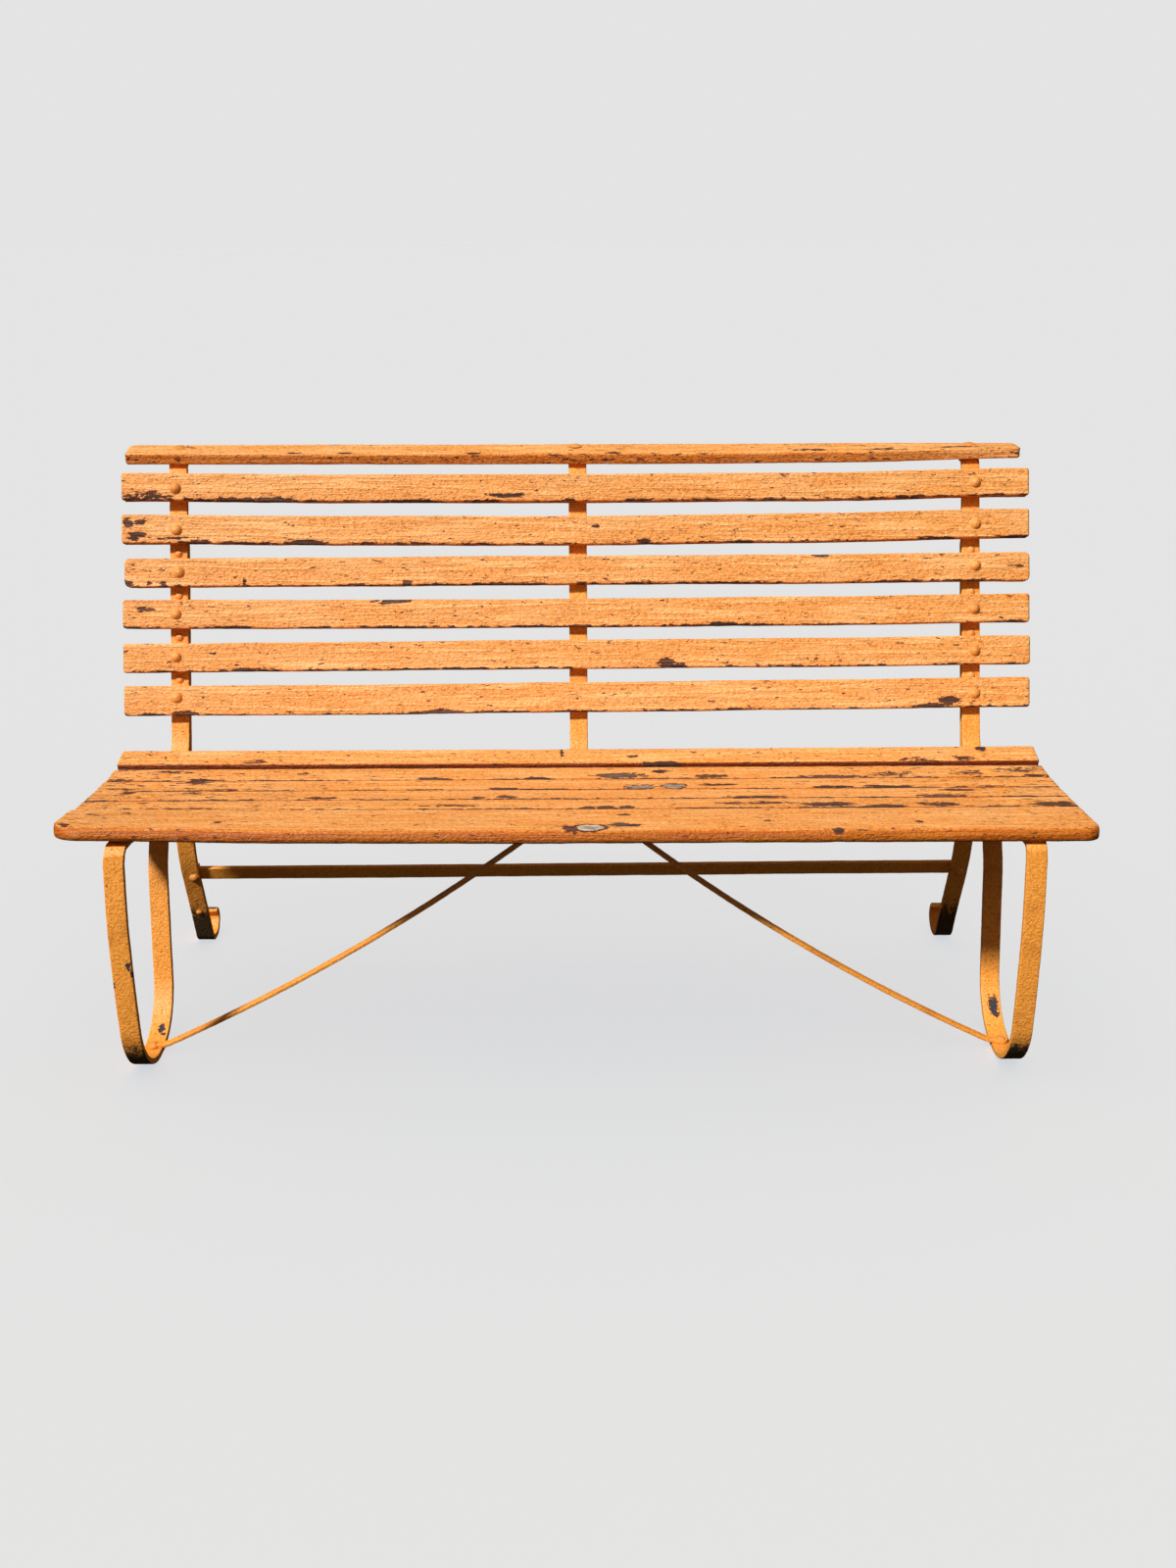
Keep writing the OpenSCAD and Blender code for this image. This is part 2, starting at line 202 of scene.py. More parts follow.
def ahead(s, run):
    """The state after one run."""
    length, turn = run
    a = math.radians(s[2])
    if turn == 0:
        return (s[0] + length * math.cos(a), s[1] + length * math.sin(a), s[2])
    r = length / math.radians(turn)
    b = math.radians(s[2] + turn)
    return (s[0] + r * (math.sin(b) - math.sin(a)), s[1] + r * (math.cos(a) - math.cos(b)), s[2] + turn)


def line_end(s, runs):
    for run in runs:
        s = ahead(s, run)
    return s


def state_at(s, runs, d):
    """The state at distance d along the runs."""
    for run in runs:
        if d <= run[0]:
            k = d / run[0]
            return ahead(s, (run[0] * k, run[1] * k))
        d -= run[0]
        s = ahead(s, run)
    return s


def walk(s, runs, step=6.0, bend_step=3.0):
    """States along the runs, closer together where the bar bends."""
    states = [s]
    for length, turn in runs:
        cuts = max(1, math.ceil(length / step), math.ceil(abs(turn) / bend_step))
        states += [ahead(s, (length * k / cuts, turn * k / cuts)) for k in range(1, cuts + 1)]
        s = ahead(s, (length, turn))
    return states


def off(s, side, t):
    """A point t millimetres to the left (side 1) or right (side -1) of the walk."""
    a = math.radians(s[2])
    return (s[0] - side * t * math.sin(a), s[1] + side * t * math.cos(a))


FRONT_ARC = arc(102, -86.5)
ARM_RUN = (297, -10.8)
FRONT_BEND = arc(20, -82.7 - SEAT_FALL)
SEAT_RUN = (106.7, 0)
RISE_RUN = 19
BACK_BEND = arc(50, 90 - RECLINE - 13.7 - 4.2 + SEAT_FALL)
BACK_RUN = (482, 0)
ROLL = arc(18, RECLINE + 5 - 90)
FOOT = (FOOT_Y, 0.0, 180.0)
SEAT_RUNS = [
    (2 * BOARD_W + BOARD_GAP, 0), (BOARD_GAP, 2), (BOARD_W, 0), (BOARD_GAP, 4.2),
    (BOARD_W, 0), (RISE_RUN, 11.7), (REAR_W + 3, 0),
]
MAIN = [(FOOT_FLAT, 0), FRONT_ARC, ARM_RUN, FRONT_BEND, SEAT_RUN] + SEAT_RUNS
UPRIGHT_RUNS = [BACK_BEND, BACK_RUN, ROLL, (25, 0)]
MAIN += UPRIGHT_RUNS
# distances along the bar from its foot: where the middle boards start, the middle of the rear
# slat, where the upright starts, the middle of the rail, and the front board's bolt
SEAT_D = FOOT_FLAT + FRONT_ARC[0] + ARM_RUN[0] + FRONT_BEND[0] + SEAT_RUN[0]
REAR_D = SEAT_D + 4 * BOARD_W + 3 * BOARD_GAP + RISE_RUN + REAR_W / 2
BACK_D = REAR_D + REAR_W / 2 + 3 + BACK_BEND[0]
RAIL_D = BACK_D + BACK_RUN[0] + ROLL[0] + 11
FRONT_D = SEAT_D - BOARD_GAP - 28


def board_d(k):
    return SEAT_D + (BOARD_W + BOARD_GAP) * k + BOARD_W / 2


def slat_d(k):
    return BACK_D + FIRST_SLAT + SLAT_PITCH * k


def on_bar(d):
    return state_at(FOOT, MAIN, d)


def between(values, k):
    """A value eased through evenly spaced values while k goes from 0 to 1."""
    last = len(values) - 1
    if not last:
        return values[0]
    i = min(last - 1, max(0, int(k * last)))
    f = min(1.0, max(0.0, k * last - i))
    return values[i] + (values[i + 1] - values[i]) * f * f * (3 - 2 * f)


def at_height(pairs, z):
    """A value read off (height, value) pairs that go upward."""
    if z <= pairs[0][0]:
        return pairs[0][1]
    for (z0, a), (z1, b) in zip(pairs, pairs[1:]):
        if z <= z1:
            return a + (b - a) * (z - z0) / (z1 - z0)
    return pairs[-1][1]


LOOP_FOOT = [(FOOT_FLAT, 0), arc(114, 78), (168, 0), arc(120, -14)]
LOOP_HEAD = [arc(16, -62), (38, 0)]


def loop_rise():
    """Length of the loop's last rise, so that its head lies under the bearer."""
    b = off(on_bar(board_d(3)), -1, BAR_T + 0.4)
    e = off(line_end((FOOT_Y, 0, 0), LOOP_FOOT + LOOP_HEAD), 1, BAR_T)
    a = math.radians(2)
    return ((b[0] - e[0]) * -math.sin(a) + (b[1] - e[1]) * math.cos(a)) / math.sin(math.radians(62))


LOOP = LOOP_FOOT + [(loop_rise(), 0)] + LOOP_HEAD


def leg_line():
    """Start state and runs of the rear leg, from its top on the back of the upright."""
    s = on_bar(slat_d(3) + SLAT_PITCH / 2 + 20)
    start = off(s, -1, BAR_T) + (s[2] - 180,)
    drop = (start[1] - 390) / math.cos(math.radians(RECLINE))
    bow = arc(300, RECLINE + 23)
    knee = line_end(start, [(drop, 0), bow])
    c20, c67 = math.cos(math.radians(20)), math.cos(math.radians(67))
    shin = (knee[1] - 30 * (c20 - c67) - 38 * (1 - c20)) / math.sin(math.radians(67))
    scroll = [arc(30, 47), arc(38, 20), (6, 0), arc(38, 60), arc(24, 100)]
    return start, [(drop, 0), bow, (shin, 0)] + scroll


LEG_START, LEG = leg_line()
# the bars were bent and set by eye: (height, how far the bar leans sideways there)
LOOP_SWAY = {
    "left": ((0, 0), (120, -2.5), (280, -4.8), (380, -4.0), (415, 0)),
    "right": ((0, 0), (280, 2.0), (380, 1.5), (415, 0)),
}
LEG_SWAY = {
    "left": ((0, -4.5), (60, -4.5), (180, -5.5), (300, -3.0), (385, 0)),
    "right": ((0, -5.5), (60, -5.0), (160, -2.0), (385, 0)),
}
CROSS = state_at(LEG_START, LEG, LEG[0][0] + LEG[1][0] + 11)
STAY_TOP = on_bar(SEAT_D + 62)


# ---------------------------------------------------------------- mesh helpers


def rough(x, y, z, seed, size):
    """Smooth unevenness from -1 to 1 with bumps of the given size in millimetres."""
    return noise.noise(Vector((x / size + seed * 7.31, y / size, z / size - seed * 3.17)))


# what each point knows of its surface: chipped, grey timber, darkened (settled dirt with painted shade on a
# board's low side, grime near the ground on iron), and pitted along the grain
WEAR = ("worn", "silvered", "soiled", "pitted")


class Skin:
    """Collects closed tubes and turned studs that take the place of one node of the frame."""

    def __init__(self, replaced):
        self.replaced, self.points, self.faces, self.flat, self.bare = replaced, [], [], set(), []

    def tube(self, rings, bare):
        """Skin closed rings of equal length one after another and close both ends."""
        first, n = len(self.points), len(rings[0])
        for i, ring in enumerate(rings):
            self.points += ring
            self.bare += bare[i]
        for i in range(len(rings) - 1):
            a, b = first + i * n, first + (i + 1) * n
            for k in range(n):
                m = (k + 1) % n
                self.faces.append((a + k, a + m, b + m, b + k))
        self.flat.add(len(self.faces))
        self.faces.append(tuple(range(first + n - 1, first - 1, -1)))
        self.flat.add(len(self.faces))
        last = first + (len(rings) - 1) * n
        self.faces.append(tuple(range(last, last + n)))

    def lathe(self, profile, place, sides=28, wobble=0.0, seed=0):
        """Turn (radius, height) points, first and last at radius 0, about a placed Z axis."""
        first = len(self.points)
        rows = profile[1:-1]
        self.points.append(place @ Vector((0, 0, profile[0][1] * MM)))
        for r, h in rows:
            for k in range(sides):
                a = 2 * math.pi * k / sides
                c, s = math.cos(a), math.sin(a)
                w = 1 + wobble * rough(c * 5, s * 5, h, seed, 4.0)
                self.points.append(place @ Vector((r * c * w * MM, r * s * w * MM, h * MM)))
        self.points.append(place @ Vector((0, 0, profile[-1][1] * MM)))
        self.bare += [(0.0,) * len(WEAR)] * (len(self.points) - first)
        end = len(self.points) - 1
        for k in range(sides):
            m = (k + 1) % sides
            self.faces.append((first, first + 1 + m, first + 1 + k))
            for j in range(len(rows) - 1):
                a, b = first + 1 + j * sides, first + 1 + (j + 1) * sides
                self.faces.append((a + k, a + m, b + m, b + k))
            a = first + 1 + (len(rows) - 1) * sides
            self.faces.append((a + k, a + m, end))

    def make(self, coat):
        """The finished object in the named coat, riding on the frame in place of its node."""
        name = f"{self.replaced}_painted"
        mesh = bpy.data.meshes.new(name)
        mesh.from_pydata([tuple(p) for p in self.points], [], self.faces)
        for i, wear in enumerate(WEAR):
            layer = mesh.attributes.new(wear, "FLOAT", "POINT")
            layer.data.foreach_set("value", [b[i] for b in self.bare])
        smooth = [i not in self.flat for i in range(len(self.faces))]
        mesh.polygons.foreach_set("use_smooth", smooth)
        bm = bmesh.new()
        bm.from_mesh(mesh)
        bmesh.ops.recalc_face_normals(bm, faces=bm.faces)
        bm.to_mesh(mesh)
        bm.free()
        mesh.materials.append(finish(coat))
        piece = bpy.data.objects.new(name, mesh)
        bpy.context.scene.collection.objects.link(piece)
        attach(piece, "root")
        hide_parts(self.replaced)
        keep_in_place(piece, self.replaced)


def keep_in_place(piece, replaced):
    """Stops the script if a piece strays further than the leeway outside the node it replaces."""
    low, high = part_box(replaced)
    for axis in range(3):
        values = [v.co[axis] for v in piece.data.vertices]
        if min(values) < low[axis] - LEEWAY or max(values) > high[axis] + LEEWAY:
            raise RuntimeError(f"{piece.name} leaves its place in the frame along axis {axis}")


def section(width, thick, radii, step):
    """Points and outward normals round a board's section.

    Across runs from -width/2 to width/2 and up from 0 to thick. The radii are those of the
    corners at (low, 0), (high, 0), (high, thick) and (low, thick).
    """
    h = width / 2
    corners = [(v + (r if v < 0 else -r), z + (r if z == 0 else -r), r, start) for (v, z, start), r in
               zip(((-h, 0, 180), (h, 0, 270), (h, thick, 0), (-h, thick, 90)), radii)]
    out = []
    for (cv, cz, r, start), (ev, ez, nr, _) in zip(corners, corners[1:] + corners[:1]):
        turns = max(4, round(r * 1.6 / step) + 3)
        for k in range(turns + 1):
            a = math.radians(start + 90 * k / turns)
            out.append((cv + r * math.cos(a), cz + r * math.sin(a), math.cos(a), math.sin(a)))
        a = math.radians(start + 90)
        p = (cv + r * math.cos(a), cz + r * math.sin(a))
        q = (ev + nr * math.cos(a), ez + nr * math.sin(a))
        cuts = max(1, round(math.dist(p, q) / step))
        for k in range(1, cuts):
            f = k / cuts
            out.append((p[0] + (q[0] - p[0]) * f, p[1] + (q[1] - p[1]) * f, math.cos(a), math.sin(a)))
    return out


def stations(low, high, step, end_round, spots):
    """Places along a board, close together at its rounded ends and at its worn spots."""
    xs = set()
    for k in range(7):
        inset = end_round * (1 - math.sin(math.pi / 2 * k / 6))
        xs.add(round(low + inset, 3))
        xs.add(round(high - inset, 3))
    cuts = math.ceil((high - low - 2 * end_round) / step)
    for k in range(1, cuts):
        xs.add(round(low + end_round + (high - low - 2 * end_round) * k / cuts, 3))
    for x, v, half_l, *_ in spots:
        k = -half_l * 1.3
        while k <= half_l * 1.3:
            if low + end_round < x + k < high - end_round:
                xs.add(round(x + k, 3))
            k += 1.6
    ordered = sorted(xs)
    return [x for i, x in enumerate(ordered) if i == 0 or x - ordered[i - 1] > 0.05]


def spot_wear(x, v, spots):
    """How worn a point is from the listed spots, 0 to 1, and how silvered its timber is.

    A spot with silvered below 0 is scuffed to the primer only, with paint left in the grain.
    """
    worn = silver = 0.0
    for sx, sv, half_l, half_w, *rest in spots:
        grey = rest[0] if rest else 0
        dx, dv = (x - sx) / half_l, (v - sv) / half_w
        d = dx * dx + dv * dv
        if d < 1.7:
            w = max(0.0, 1 - d * 0.58) * (0.60 if grey < 0 else 1.0)
            if w > worn:
                worn, silver = w, max(0.0, grey)
    return worn, silver


def plank(skin, state, low, high, width, thick, radii, spots=(), *, seed, lump, end_round=3.5,
          step=7.0, slide=(0.0,), lift=(0.0,), twist=(0.0,), nose=0.0, heel=0.0, edge_wear=0.0,
          centre=0.0, soil=(0.0,), pits=(0.0,)):
    """One board along X, laid on the bar at a state, planed by hand and thick with paint.

    slide, lift and twist are evenly spaced along the board: millimetres along the bar and up,
    and degrees about the bar. nose and heel are the plan radii of its low-side and high-side
    corners, or pairs of radii for the left and the right end. edge_wear bites into its low outer
    arris, the amount of dirt and painted shade darkens its low side and underside, and pits
    opens the paint along the grain.
    """
    heading = math.radians(state[2])
    outline = section(width, thick, radii, 2.6)
    rings, bare = [], []
    for x in stations(low, high, step, end_round, spots):
        d_end = min(x - low, high - x)
        right = x - low > high - x
        corners = [r[right] if isinstance(r, tuple) else r for r in (end_round, nose, heel)]
        inset, *pulls = [r - math.sqrt(max(0.0, r * r - (r - d_end) ** 2)) if d_end < r else 0.0
                         for r in corners]
        k = (x - low) / (high - low)
        angle = heading + math.radians(between(twist, k))
        along = (math.cos(angle), math.sin(angle))
        outw = (-math.sin(angle), math.cos(angle))
        bow = between(lift, k) + 0.4 * rough(x, 0, 0, seed, 240.0)
        moved = between(slide, k) + centre
        swell = 0.5 * rough(x, 9, 3, seed, 130.0) + 0.25 * rough(x, 9, 3, seed, 34.0)
        bite = max(0.0, edge_wear * (
            0.42 + rough(x, 4, 1, seed + 5, 70.0) + 0.55 * rough(x, 2, 7, seed, 14.0)
            + 0.3 * rough(x, 2, 7, seed, 4.5)))
        ring, wear = [], []
        for v, z, nv, nz in outline:
            vv, zz = v - nv * inset, z - nz * inset
            vv += pulls[0] * max(0.0, 0.5 - v / width) - pulls[1] * max(0.0, 0.5 + v / width)
            worn, silver = spot_wear(x, v, spots)
            uneven = lump / MM * (rough(x * 0.55, v, z, seed, 16.0)
                                  + 0.55 * rough(x * 0.5, v, z, seed + 1, 5.0))
            corner = max(0.0, 1 - math.hypot(v + width / 2, z - thick) / 5.5)
            under = max(0.0, 1 - math.hypot(v + width / 2, z - thick * 0.45) / 9.0)
            cut = bite * max(corner, 0.9 * under)
            d = uneven - 0.6 * min(1.5, cut) - 0.45 * min(1.0, worn * 1.6)
            vv += nv * d + moved
            zz += nz * d
            y = state[0] + along[0] * vv + outw[0] * zz
            h = state[1] + along[1] * vv + outw[1] * zz + bow
            lift_v = swell * nv
            ring.append(Vector((x * MM, (y + along[0] * lift_v) * MM, (h + along[1] * lift_v) * MM)))
            # painted shade: the board's low side and its underside are darkened as if in shade, together with
            # settled dirt
            dusty_and_shaded = between(soil, k) * min(1.0, max(0.0, -nv * 1.3 + (0.25 if nz < -0.3 else 0.0)))
            open_grain = between(pits, k) * min(1.0, max(0.0, 1.0 + nv * 1.3))
            wear.append((min(1.0, max(worn, cut * 0.75)), silver, dusty_and_shaded, open_grain))
        rings.append(ring)
        bare.append(wear)
    skin.tube(rings, bare)


def bar(skin, states, x, width, thick, side, *, seed, lump, edge, spots=(), widths=None, place=None,
        sway=((0.0, 0.0),), dirt=(0.0, 0.0)):
    """A flat bar swept along its walked states, with soft edges and lumps of paint.

    spots are (distance along, across, half length, half width, silvered if not 0), and one
    with silvered above 0 lies on the inner face. widths gives a half width at a distance, place
    turns (along, across, up) points into the room, and sway leans the bar sideways by height.
    dirt is (height where it ends, how far back it reaches) on the outer face.
    """
    outline = section(width, thick, (edge,) * 4, 4.0)
    rings, bare, d = [], [], 0.0
    for i, s in enumerate(states):
        if i:
            d += math.dist(s[:2], states[i - 1][:2])
        ring, wear = [], []
        ends = min(i, len(states) - 1 - i)
        inset = edge * (1 - (0.0, 0.7, 1.0)[ends]) if ends < 2 else 0.0
        scale = widths(d) / (width / 2) if widths else 1.0
        for v, t, nv, nt in outline:
            worn, silver = spot_wear(d, v, spots)
            if (t > thick * 0.6) != (silver > 0):
                worn = 0.0
            lumps = lump / MM * (rough(x + v, s[0], s[1] + t, seed, 11.0)
                                 + 0.6 * rough(v, s[0], s[1], seed + 2, 4.5))
            vv = v * scale + nv * (lumps - inset)
            tt = t + nt * (lumps - inset) - 0.4 * min(1.0, worn * 1.6) * nt
            a, b = off(s, side, tt)
            point = place(a, vv, b) if place else (x + vv + at_height(sway, b), a, b)
            ring.append(Vector(point) * MM)
            grime = 0.0
            if b < dirt[0] and a < dirt[1] and nt <= -0.3:
                grime = max(0.0, min(1.0, 1.5 * (1 - b / dirt[0])))
            wear.append((worn, silver, grime, 0.0))
        rings.append(ring)
        bare.append(wear)
    skin.tube(rings, bare)


def on_face(s, x):
    """Matrix that stands local Z out of the bar's outer face at a state, in metres."""
    turn = Matrix.Rotation(math.radians(s[2]), 4, "X")
    return Matrix.Translation(Vector((x * MM, s[0] * MM, s[1] * MM))) @ turn


def stud_profile(head, rise, base, shank, reach, fillet=1.6):
    """Profile of a domed bolt or rivet, from its tail to the top of its painted head."""
    r = (head * head / 4 + rise * rise) / (2 * rise)
    points = [(0, base - reach), (shank / 2 - 1.0, base - reach), (shank / 2, base - reach + 1.0)]
    points += [(shank / 2, base - 0.6), (head / 2 + fillet, base - 0.6), (head / 2 + fillet, base)]
    points.append((head / 2 + fillet * 0.45, base + 0.25))
    dome = math.asin(min(1.0, head / 2 / r))
    for k in range(8):
        a = dome * (1 - k / 8) * 0.98
        points.append((r * math.sin(a), base + 0.5 + rise - r + r * math.cos(a)))
    points.append((0, base + 0.5 + rise))
    return points


# ---------------------------------------------------------------- finishes


def node(tree, kind, inputs=None, out=0, **settings):
    """Add one shader node with its settings, values and links, and give back one of its sockets."""
    made = tree.nodes.new(kind)
    for key, value in settings.items():
        setattr(made, key, value)
    for key, value in (inputs or {}).items():
        if isinstance(value, bpy.types.NodeSocket):
            tree.links.new(value, made.inputs[key])
        else:
            made.inputs[key].default_value = value
    return made.outputs[out] if made.outputs else made


MIX, MATH, EASE = "ShaderNodeMix", "ShaderNodeMath", "ShaderNodeMapRange"
NOISE, MAPPING, LAYER = "ShaderNodeTexNoise", "ShaderNodeMapping", "ShaderNodeAttribute"
TINT = {"out": 2, "data_type": "RGBA"}
TIMES, PLUS, LESS = {"operation": "MULTIPLY"}, {"operation": "ADD"}, {"operation": "SUBTRACT"}
SOFT = {"interpolation_type": "SMOOTHSTEP"}
# sizes of the thin patches and of the pinholes in the iron's coat, in millimetres
PATCH, PINHOLE = 1000 / 14, 1000 / 240


def finish_material(name):
    material = bpy.data.materials.new(name)
    material.use_nodes = True
    material.node_tree.nodes.clear()
    return material, material.node_tree


def enamel_on_softwood(paint):
    """Gloss enamel brushed on planed softwood, outdoors for years.

    Many coats soften the arrises, the growth rings stand up through the paint as wavy ridges
    along the board, settled dirt and painted shade darken the low and downward-facing edges, the
    hollows of the relief are painted darker as shade and its raised strokes lighter as highlight,
    and chips torn along the grain show a maroon primer round dark timber.
    """
    material, t = finish_material("brushed_enamel_on_softwood")
    place = node(t, "ShaderNodeTexCoord", out="Object")
    # growth rings about 7 mm apart run 150 mm and more along the board before they drift
    drift = node(t, NOISE, {"Vector": node(t, MAPPING, {"Vector": place, "Scale": (3.2, 14.0, 14.0)}),
                            "Scale": 1.0, "Detail": 1.0}, out="Color")
    bent = node(t, MIX, {0: 0.010, 4: place, 5: drift}, out=1, data_type="VECTOR")
    # the rings; brush marks and orange peel, 2 mm in life, drawn at 4 to 6 mm so that they show;
    # patches a hand's breadth across where the coat is thicker or more faded; torn grain, dashes
    # about 6 mm wide and 24 mm long, mostly where a board is pitted; and flakes round the chips
    rings, peel, patches, tears, flakes = (
        node(t, NOISE, {"Vector": node(t, MAPPING, {"Vector": where, "Scale": (along, wide, wide)}),
                        "Scale": 1.0, "Detail": detail, "Roughness": breakup})
        for where, along, wide, detail, breakup in (
            (bent, 6.0, 150.0, 1.5, 0.5), (place, 170.0, 280.0, 2.0, 0.65), (place, 7.0, 26.0, 2.0, 0.5),
            (bent, 42.0, 170.0, 2.0, 0.6), (bent, 60.0, 210.0, 4.0, 0.68)))
    # each ring's dark late wood shows as a line where the pattern passes its middle value
    off_line = node(t, MATH, {0: node(t, MATH, {0: rings, 1: 0.5}, **LESS)}, operation="ABSOLUTE")
    lines = node(t, EASE, {0: off_line, 1: 0.0, 2: 0.035, 3: 1.0, 4: 0.0}, **SOFT)
    worn, silvered, soiled, pitted = (node(t, LAYER, out="Fac", attribute_name=name) for name in WEAR)

    tone = node(t, MATH, {0: node(t, MATH, {0: rings, 1: 0.4}, **TIMES),
                          1: node(t, MATH, {0: peel, 1: 0.6}, **TIMES)}, **PLUS)
    # sunk paint first, darker in the hollows as painted shade, then the coat, then the raised strokes lighter
    # as painted highlight, and the faded patches; the tone follows the same rings and peel that lift the bump
    # below
    colour = paint.deep_coat_and_hollow_shade
    for pattern, start, end, most, shade in ((tone, 0.35, 0.49, 1.0, paint.coat),
                                             (tone, 0.50, 0.66, 1.0, paint.light_coat_and_raised_highlight),
                                             (patches, 0.42, 0.66, 0.30, paint.light_coat_and_raised_highlight)):
        share = node(t, EASE, {0: pattern, 1: start, 2: end, 4: most}, **SOFT)
        colour = node(t, MIX, {0: share, 6: colour, 7: shade}, **TINT)
    colour = node(t, MIX, {0: node(t, MATH, {0: lines, 1: 0.26}, **TIMES),
                           6: colour, 7: paint.deep_coat_and_hollow_shade}, **TINT)
    # painted shade with settled dirt: a board's low, downward-facing side is multiplied by the yellow-brown
    # tint, broken up by the peel; past 0.9 a deeper olive tint adds deep painted shade, as on the rear slat's
    # front face
    deep_shade_and_thick_dust = node(t, EASE, {0: soiled, 1: 0.9, 2: 2.0}, **SOFT)
    uneven = node(t, EASE, {0: peel, 1: 0.3, 2: 0.7, 3: 1.0, 4: 0.7}, **SOFT)
    dust_and_shade_mix = node(t, MATH, {0: soiled, 1: uneven}, **TIMES)
    for share, shade in ((dust_and_shade_mix, paint.soil), (deep_shade_and_thick_dust, to_linear("A8842C"))):
        colour = node(t, MIX, {0: share, 6: colour, 7: shade}, blend_type="MULTIPLY", **TINT)
    open_grain = node(t, MATH, {0: tears, 1: node(t, MATH, {0: pitted, 1: 0.205}, **TIMES)}, **PLUS)
    dashes = node(t, EASE, {0: open_grain, 1: 0.785, 2: 0.820}, **SOFT)
    colour = node(t, MIX, {0: node(t, MATH, {0: dashes, 1: 0.9}, **TIMES),
                           6: colour, 7: to_linear("5A2E12")}, **TINT)

    # chips: the worn places, torn along the grain, with a crisper rim round silvered timber
    tear = node(t, EASE, {0: silvered, 3: 3.0, 4: 1.0}, **SOFT)
    edge = node(t, MATH, {0: worn, 1: node(t, MATH, {
        0: node(t, MATH, {0: flakes, 1: 0.5}, **LESS), 1: tear}, **TIMES)}, **PLUS)
    chip = node(t, EASE, {0: edge, 1: 0.42, 2: 0.46}, **SOFT)
    core = node(t, EASE, {0: edge, 1: 0.62, 2: 0.72}, **SOFT)
    dark = node(t, MIX, {0: node(t, EASE, {0: rings, 1: 0.42, 2: 0.60}, **SOFT),
                         6: paint.bare_wood, 7: to_linear("6A4632")}, **TINT)
    pale = node(t, MIX, {0: node(t, EASE, {0: flakes, 1: 0.38, 2: 0.52}, **SOFT),
                         6: to_linear("8A7A66"), 7: paint.silver_wood}, **TINT)
    timber = node(t, MIX, {0: silvered, 6: dark, 7: pale}, **TINT)
    inside = node(t, MIX, {0: core, 6: paint.undercoat, 7: timber}, **TINT)
    colour = node(t, MIX, {0: chip, 6: colour, 7: inside}, **TINT)

    height = node(t, MATH, {0: node(t, MATH, {0: rings, 1: 0.8}, **TIMES), 1: peel}, **PLUS)
    for hollow, depth in ((lines, 0.22), (chip, 0.6), (dashes, 0.5)):
        height = node(t, MATH, {0: height, 1: node(t, MATH, {0: hollow, 1: depth}, **TIMES)}, **LESS)
    relief = node(t, "ShaderNodeBump", {"Height": height, "Strength": 1.0, "Distance": 0.0026})
    gloss = node(t, EASE, {0: peel, 1: 0.3, 2: 0.7, 3: 0.44, 4: 0.60}, **SOFT)
    gloss = node(t, MATH, {0: gloss, 1: node(t, MATH, {0: chip, 1: 0.34}, **TIMES)}, **PLUS)
    coat = node(t, "ShaderNodeBsdfPrincipled",
                {"Base Color": colour, "Roughness": gloss, "IOR": 1.5, "Normal": relief})
    node(t, "ShaderNodeOutputMaterial", {"Surface": coat})
    return material


